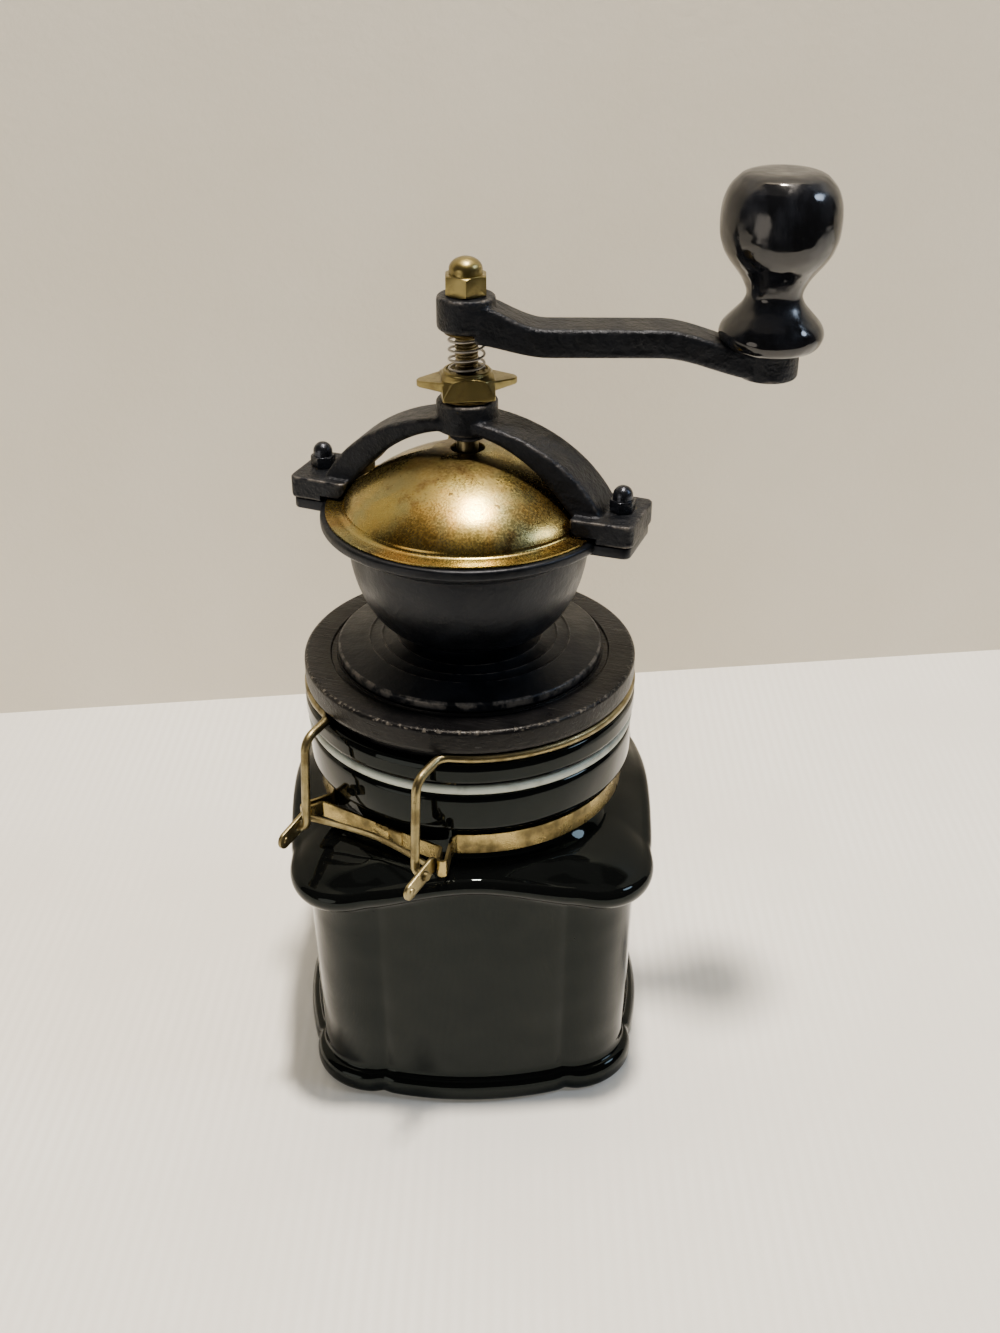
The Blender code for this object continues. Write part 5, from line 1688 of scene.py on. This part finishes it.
@dataclass
class Adjuster:
    """The brass nut with two wings that sets how fine the mill grinds."""

    low: float = 0.2357
    top: float = 0.2436
    half: float = 0.0080
    bearing: float = math.radians(5.0)
    wing_half: tuple = ((0.0050, 0.0078, 0.0), (0.0146, 0.0019, 0.0009), (0.0153, 0.0007, 0.0006))
    seat: float = 0.0074
    bore: float = 0.0038
    socket: float = 0.0064
    grain: float = 0.00018

    def wing(self, side: int) -> Form:
        """Makes one wing: a plate that narrows and thins towards its tip."""
        form = slab(mirrored(self.wing_half, 4), 0.0034, Matrix(), 0.0003)
        for vert in form.verts:
            vert.co.z *= 1.0 - 0.45 * min(1.0, max(0.0, (vert.co.x - 0.006) / 0.009))
        return moved(form, about_z(side * math.pi) @ at(0.0, 0.0, self.low + 0.0040))

    def build(self) -> None:
        """Builds the nut: a square block with turned corners, its seat for the spring and its wings."""
        flat_top = self.low + 0.0064
        body = block((-self.half, -self.half, self.low), (self.half, self.half, flat_top + 0.0010))
        turning = turned([
            (0.0, self.low - 0.0001), (0.0110, self.low - 0.0001), (0.0111, self.low + 0.0012),
            (0.0094, flat_top - 0.0004), (0.0086, flat_top), (self.seat, flat_top + 0.0006),
            (0.0, flat_top + 0.0007),
        ], 96, closed=False)
        body = carved(body, [turning], "INTERSECT")
        seat = turned([(0.0, flat_top - 0.001), (self.seat, flat_top - 0.001), (self.seat, self.top - 0.0004),
                       (self.seat - 0.0004, self.top), (0.0, self.top)], 72, closed=False)
        whole = carved(body, [seat, self.wing(0), self.wing(1)], "UNION")
        form = carved(melted(whole, self.grain, 2), [
            bar(self.bore, self.low - 0.002, self.top + 0.002, 48),
            bar(self.socket, self.top - 0.0007, self.top + 0.002, 64),
        ])
        nut = sealed(moved(form, about_z(self.bearing)), "wing_nut", NUT_BRASS, 32.0)
        placed(nut, Body.ADJUSTER, "nut_brass", "adjusting_nut")


@dataclass
class Crank:
    """The cast crank arm and the turned knob at its end."""

    bearing: float = math.radians(-1.9)
    reach: float = 0.0905
    width: float = 0.0150
    hub: float = 0.0089
    low: float = 0.2559
    top: float = 0.2662
    pad: float = 0.0090
    pad_low: float = 0.2417
    pad_top: float = 0.2507
    knob_low: float = 0.2511
    knob_height: float = 0.0506
    knob_radius: float = 0.0174
    knob_shares: tuple[tuple[float, float], ...] = (
        (1.0, 0.34), (0.9995, 0.42), (0.994, 0.56), (0.980, 0.68), (0.960, 0.755), (0.921, 0.86),
        (0.877, 0.93), (0.820, 0.98), (0.751, 1.0), (0.692, 0.998), (0.642, 0.985), (0.597, 0.95),
        (0.553, 0.90), (0.504, 0.81), (0.457, 0.70), (0.411, 0.60), (0.372, 0.535), (0.336, 0.49),
        (0.304, 0.475), (0.275, 0.50), (0.241, 0.56), (0.193, 0.69), (0.132, 0.845), (0.079, 0.895),
        (0.032, 0.855), (0.006, 0.79), (0.0, 0.74),
    )
    hub_bore: float = 0.0038
    hub_recess: float = 0.0076
    pin_bore: float = 0.0033
    pad_recess: float = 0.0110
    knob_bore: tuple[float, float] = (0.0034, 0.0404)

    def edge(self, side: float) -> Line:
        """Returns the arm's upper (1) or lower (-1) edge as reach and height."""
        line = []
        for i in range(49):
            share = (0.0020 + (self.reach - 0.0020) * i / 48.0) / self.reach
            fall = smooth(share / 0.27)
            dip = smooth((share - 0.64) / 0.36)
            drop = 0.0070 + 0.0060 * fall + 0.0070 * dip
            depth = 0.0125 - 0.0038 * fall - 0.0003 * dip
            line.append(((self.reach - 0.001) * share, self.top - drop + side * depth / 2.0))
        return line

    def build(self) -> None:
        """Builds the arm and the knob."""
        bearing = about_z(self.bearing)
        end = bearing @ at(self.reach, 0.0, 0.0)
        outline = self.edge(-1.0) + self.edge(1.0)[::-1]
        arm = slab(outline, self.width, bearing @ UPRIGHT, 0.0018, 3)
        hub = disc_line(0.0, self.hub, self.low, self.top, (0.0, 0.0012, 0.0010), 4)
        pad = disc_line(0.0, self.pad, self.pad_low, self.pad_top, (0.0, 0.0009, 0.0005), 4)
        forms = [arm, turned(hub, 64, closed=False), moved(turned(pad, 64, closed=False), end)]
        form = cast(forms, 0.0005, 5, [
            bar(self.hub_recess, self.low - 0.008, self.low, 48),
            bar(self.hub_bore, self.low - 0.002, self.top + 0.002, 48),
            bar(self.pin_bore, self.pad_low - 0.002, self.pad_top + 0.002, 48, end),
            bar(self.pad_recess, self.pad_top, self.pad_top + 0.006, 48, end),
        ])
        placed(sealed(form, "iron_crank", IRON, 50.0), Body.DRIVE, "iron", "crank_arm")
        dressed(SHAFT_STEEL, "knob_spindle")
        self.build_knob(end)

    def build_knob(self, end: Matrix) -> None:
        """Builds the pear-shaped knob on its spindle.

        Args:
            end: The frame at the arm's end.
        """
        shape = [(self.knob_radius * wide, self.knob_low + self.knob_height * high)
                 for high, wide in self.knob_shares]
        bore, depth = self.knob_bore
        line = [(0.0, self.knob_low + self.knob_height)] + flowing(shape, 5)
        line += [(bore, self.knob_low), (bore, self.knob_low + depth), (0.0, self.knob_low + depth)]
        form = moved(turned(line, 120, closed=False), end)
        placed(sealed(form, "pear_knob", LACQUER, 50.0), Body.GRIP, "knob_wood", "knob")


def smooth(value: float) -> float:
    """Returns an even ease from 0 to 1."""
    share = min(1.0, max(0.0, value))
    return share * share * (3.0 - 2.0 * share)


def flowing(points: Line, steps: int) -> Line:
    """Draws one flowing line through points.

    Args:
        points: The points.
        steps: How many chords lie between two of them.

    Returns:
        The line's points.
    """
    spots = [Vector(p) for p in points]
    padded = [2.0 * spots[0] - spots[1]] + spots + [2.0 * spots[-1] - spots[-2]]
    line = []
    for a, b, c, d in zip(padded, padded[1:], padded[2:], padded[3:]):
        for k in range(steps):
            t = k / steps
            line.append(tuple(0.5 * (2.0 * b + (c - a) * t + (2.0 * a - 5.0 * b + 4.0 * c - d) * t * t
                                     + (3.0 * b - a - 3.0 * c + d) * t**3)))
    line.append(tuple(spots[-1]))
    return line


# Studio


@dataclass
class Studio:
    """The board that the mill stands on, the wall behind it, the lamps and the camera."""

    wall_left: tuple[float, float] = (-0.234, 0.202)
    wall_right: tuple[float, float] = (0.282, 0.256)
    board: float = 3.0
    board_front: float = 0.36
    wall_height: float = 2.0
    wall_width: float = 3.2
    lens: float = 40.51
    camera_place: Triple = (0.00085, -0.43708, 0.39076)
    camera_down: float = math.radians(29.857)
    camera_turn: float = math.radians(-1.2009)

    def build(self) -> None:
        """Builds the set."""
        self.build_board()
        self.build_wall()
        self.build_lamps()
        self.build_camera()

    def build_board(self) -> None:
        """Builds the ribbed board under the mill."""
        form = bmesh.new()
        middle = self.board / 2.0 - self.board_front
        bmesh.ops.create_grid(form, x_segments=8, y_segments=8, size=self.board / 2.0,
                              matrix=at(0.0, middle, 0.0))
        piece = sealed(form, "board", RibbedSheet("ribbed_white_board"))

    def build_wall(self) -> None:
        """Builds the wall."""
        left, right = Vector(self.wall_left), Vector(self.wall_right)
        along = (right - left).normalized()
        middle = (left + right) / 2.0
        form = bmesh.new()
        bmesh.ops.create_grid(form, x_segments=8, y_segments=8, size=1.0)
        turn = about_z(math.atan2(along.y, along.x))
        size = Matrix.Diagonal((self.wall_width / 2.0, 1.0, self.wall_height / 2.0, 1.0))
        place = at(middle.x, middle.y, self.wall_height / 2.0) @ turn @ size @ UPRIGHT
        piece = sealed(moved(form, place), "wall", Plaster("warm_wall"))
        if piece.data.polygons[0].normal.y > 0.0:
            piece.data.flip_normals()

    def add_lamp(self, name: str, place: tuple, target: tuple, size: float, power: float, colour: str,
                 seen: bool = True) -> None:
        """Hangs a round lamp that faces a point.

        Args:
            name: Its name.
            place: Where it hangs.
            target: The point that it faces.
            size: Its width.
            power: Its power in watts.
            colour: Its colour.
            seen: Whether polished things mirror it.
        """
        data = bpy.data.lights.new(name, "AREA")
        data.shape = "DISK"
        data.size = size
        data.energy = power
        data.color = linear(colour)[:3]
        lamp = bpy.data.objects.new(name, data)
        lamp.location = place
        lamp.rotation_euler = (Vector(target) - Vector(place)).to_track_quat("-Z", "Y").to_euler()
        lamp.visible_glossy = seen
        bpy.context.scene.collection.objects.link(lamp)

    def build_lamps(self) -> None:
        """Hangs the lamp, its lit ceiling, a cool window, a doorway's glow and the soft light of the room."""
        self.add_lamp("lamp", (0.088, -0.02, 1.75), (0.088, -0.02, 0.0), 0.15, 58.0, "#fff2e2")
        self.add_lamp("ceiling", (0.0, 0.2, 2.4), (0.0, 0.2, 0.0), 2.6, 4.0, "#fff4e6")
        self.add_lamp("window", (1.30, -0.18, 1.15), (0.0, 0.0, 0.15), 0.42, 8.0, "#d3e6ff")
        self.add_lamp("doorway", (-0.9, -0.9, 0.14), (0.0, 0.0, 0.15), 0.7, 3.0, "#fff3e4")
        self.add_lamp("room", (-0.4, -2.3, 0.80), (0.0, 0.2, 0.35), 2.0, 32.0, "#f1f4f6", seen=False)
        world = bpy.data.worlds.new("room")
        bpy.context.scene.world = world
        world.use_nodes = True
        back = world.node_tree.nodes["Background"]
        back.inputs["Color"].default_value = linear("#8d8478")
        back.inputs["Strength"].default_value = 0.20

    def build_camera(self) -> None:
        """Sets the camera where the photograph was taken."""
        data = bpy.data.cameras.new("camera")
        data.sensor_fit = "VERTICAL"
        data.sensor_height = 36.0
        data.lens = self.lens
        data.clip_start = 0.01
        camera = bpy.data.objects.new("camera", data)
        camera.location = self.camera_place
        camera.rotation_euler = (QUARTER - self.camera_down, 0.0, self.camera_turn)
        bpy.context.scene.collection.objects.link(camera)
        bpy.context.scene.camera = camera


def main() -> None:
    """Builds the mill from the jar up, then its set."""
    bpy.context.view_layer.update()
    for part in (Jar(), Lid(), Closure(), Hopper(), Dome(), Yoke(), Drive(), Adjuster(), Crank()):
        log.info("building %s", type(part).__name__)
        part.build()
    Studio().build()
    bpy.context.view_layer.update()


if __name__ == "__main__":
    main()
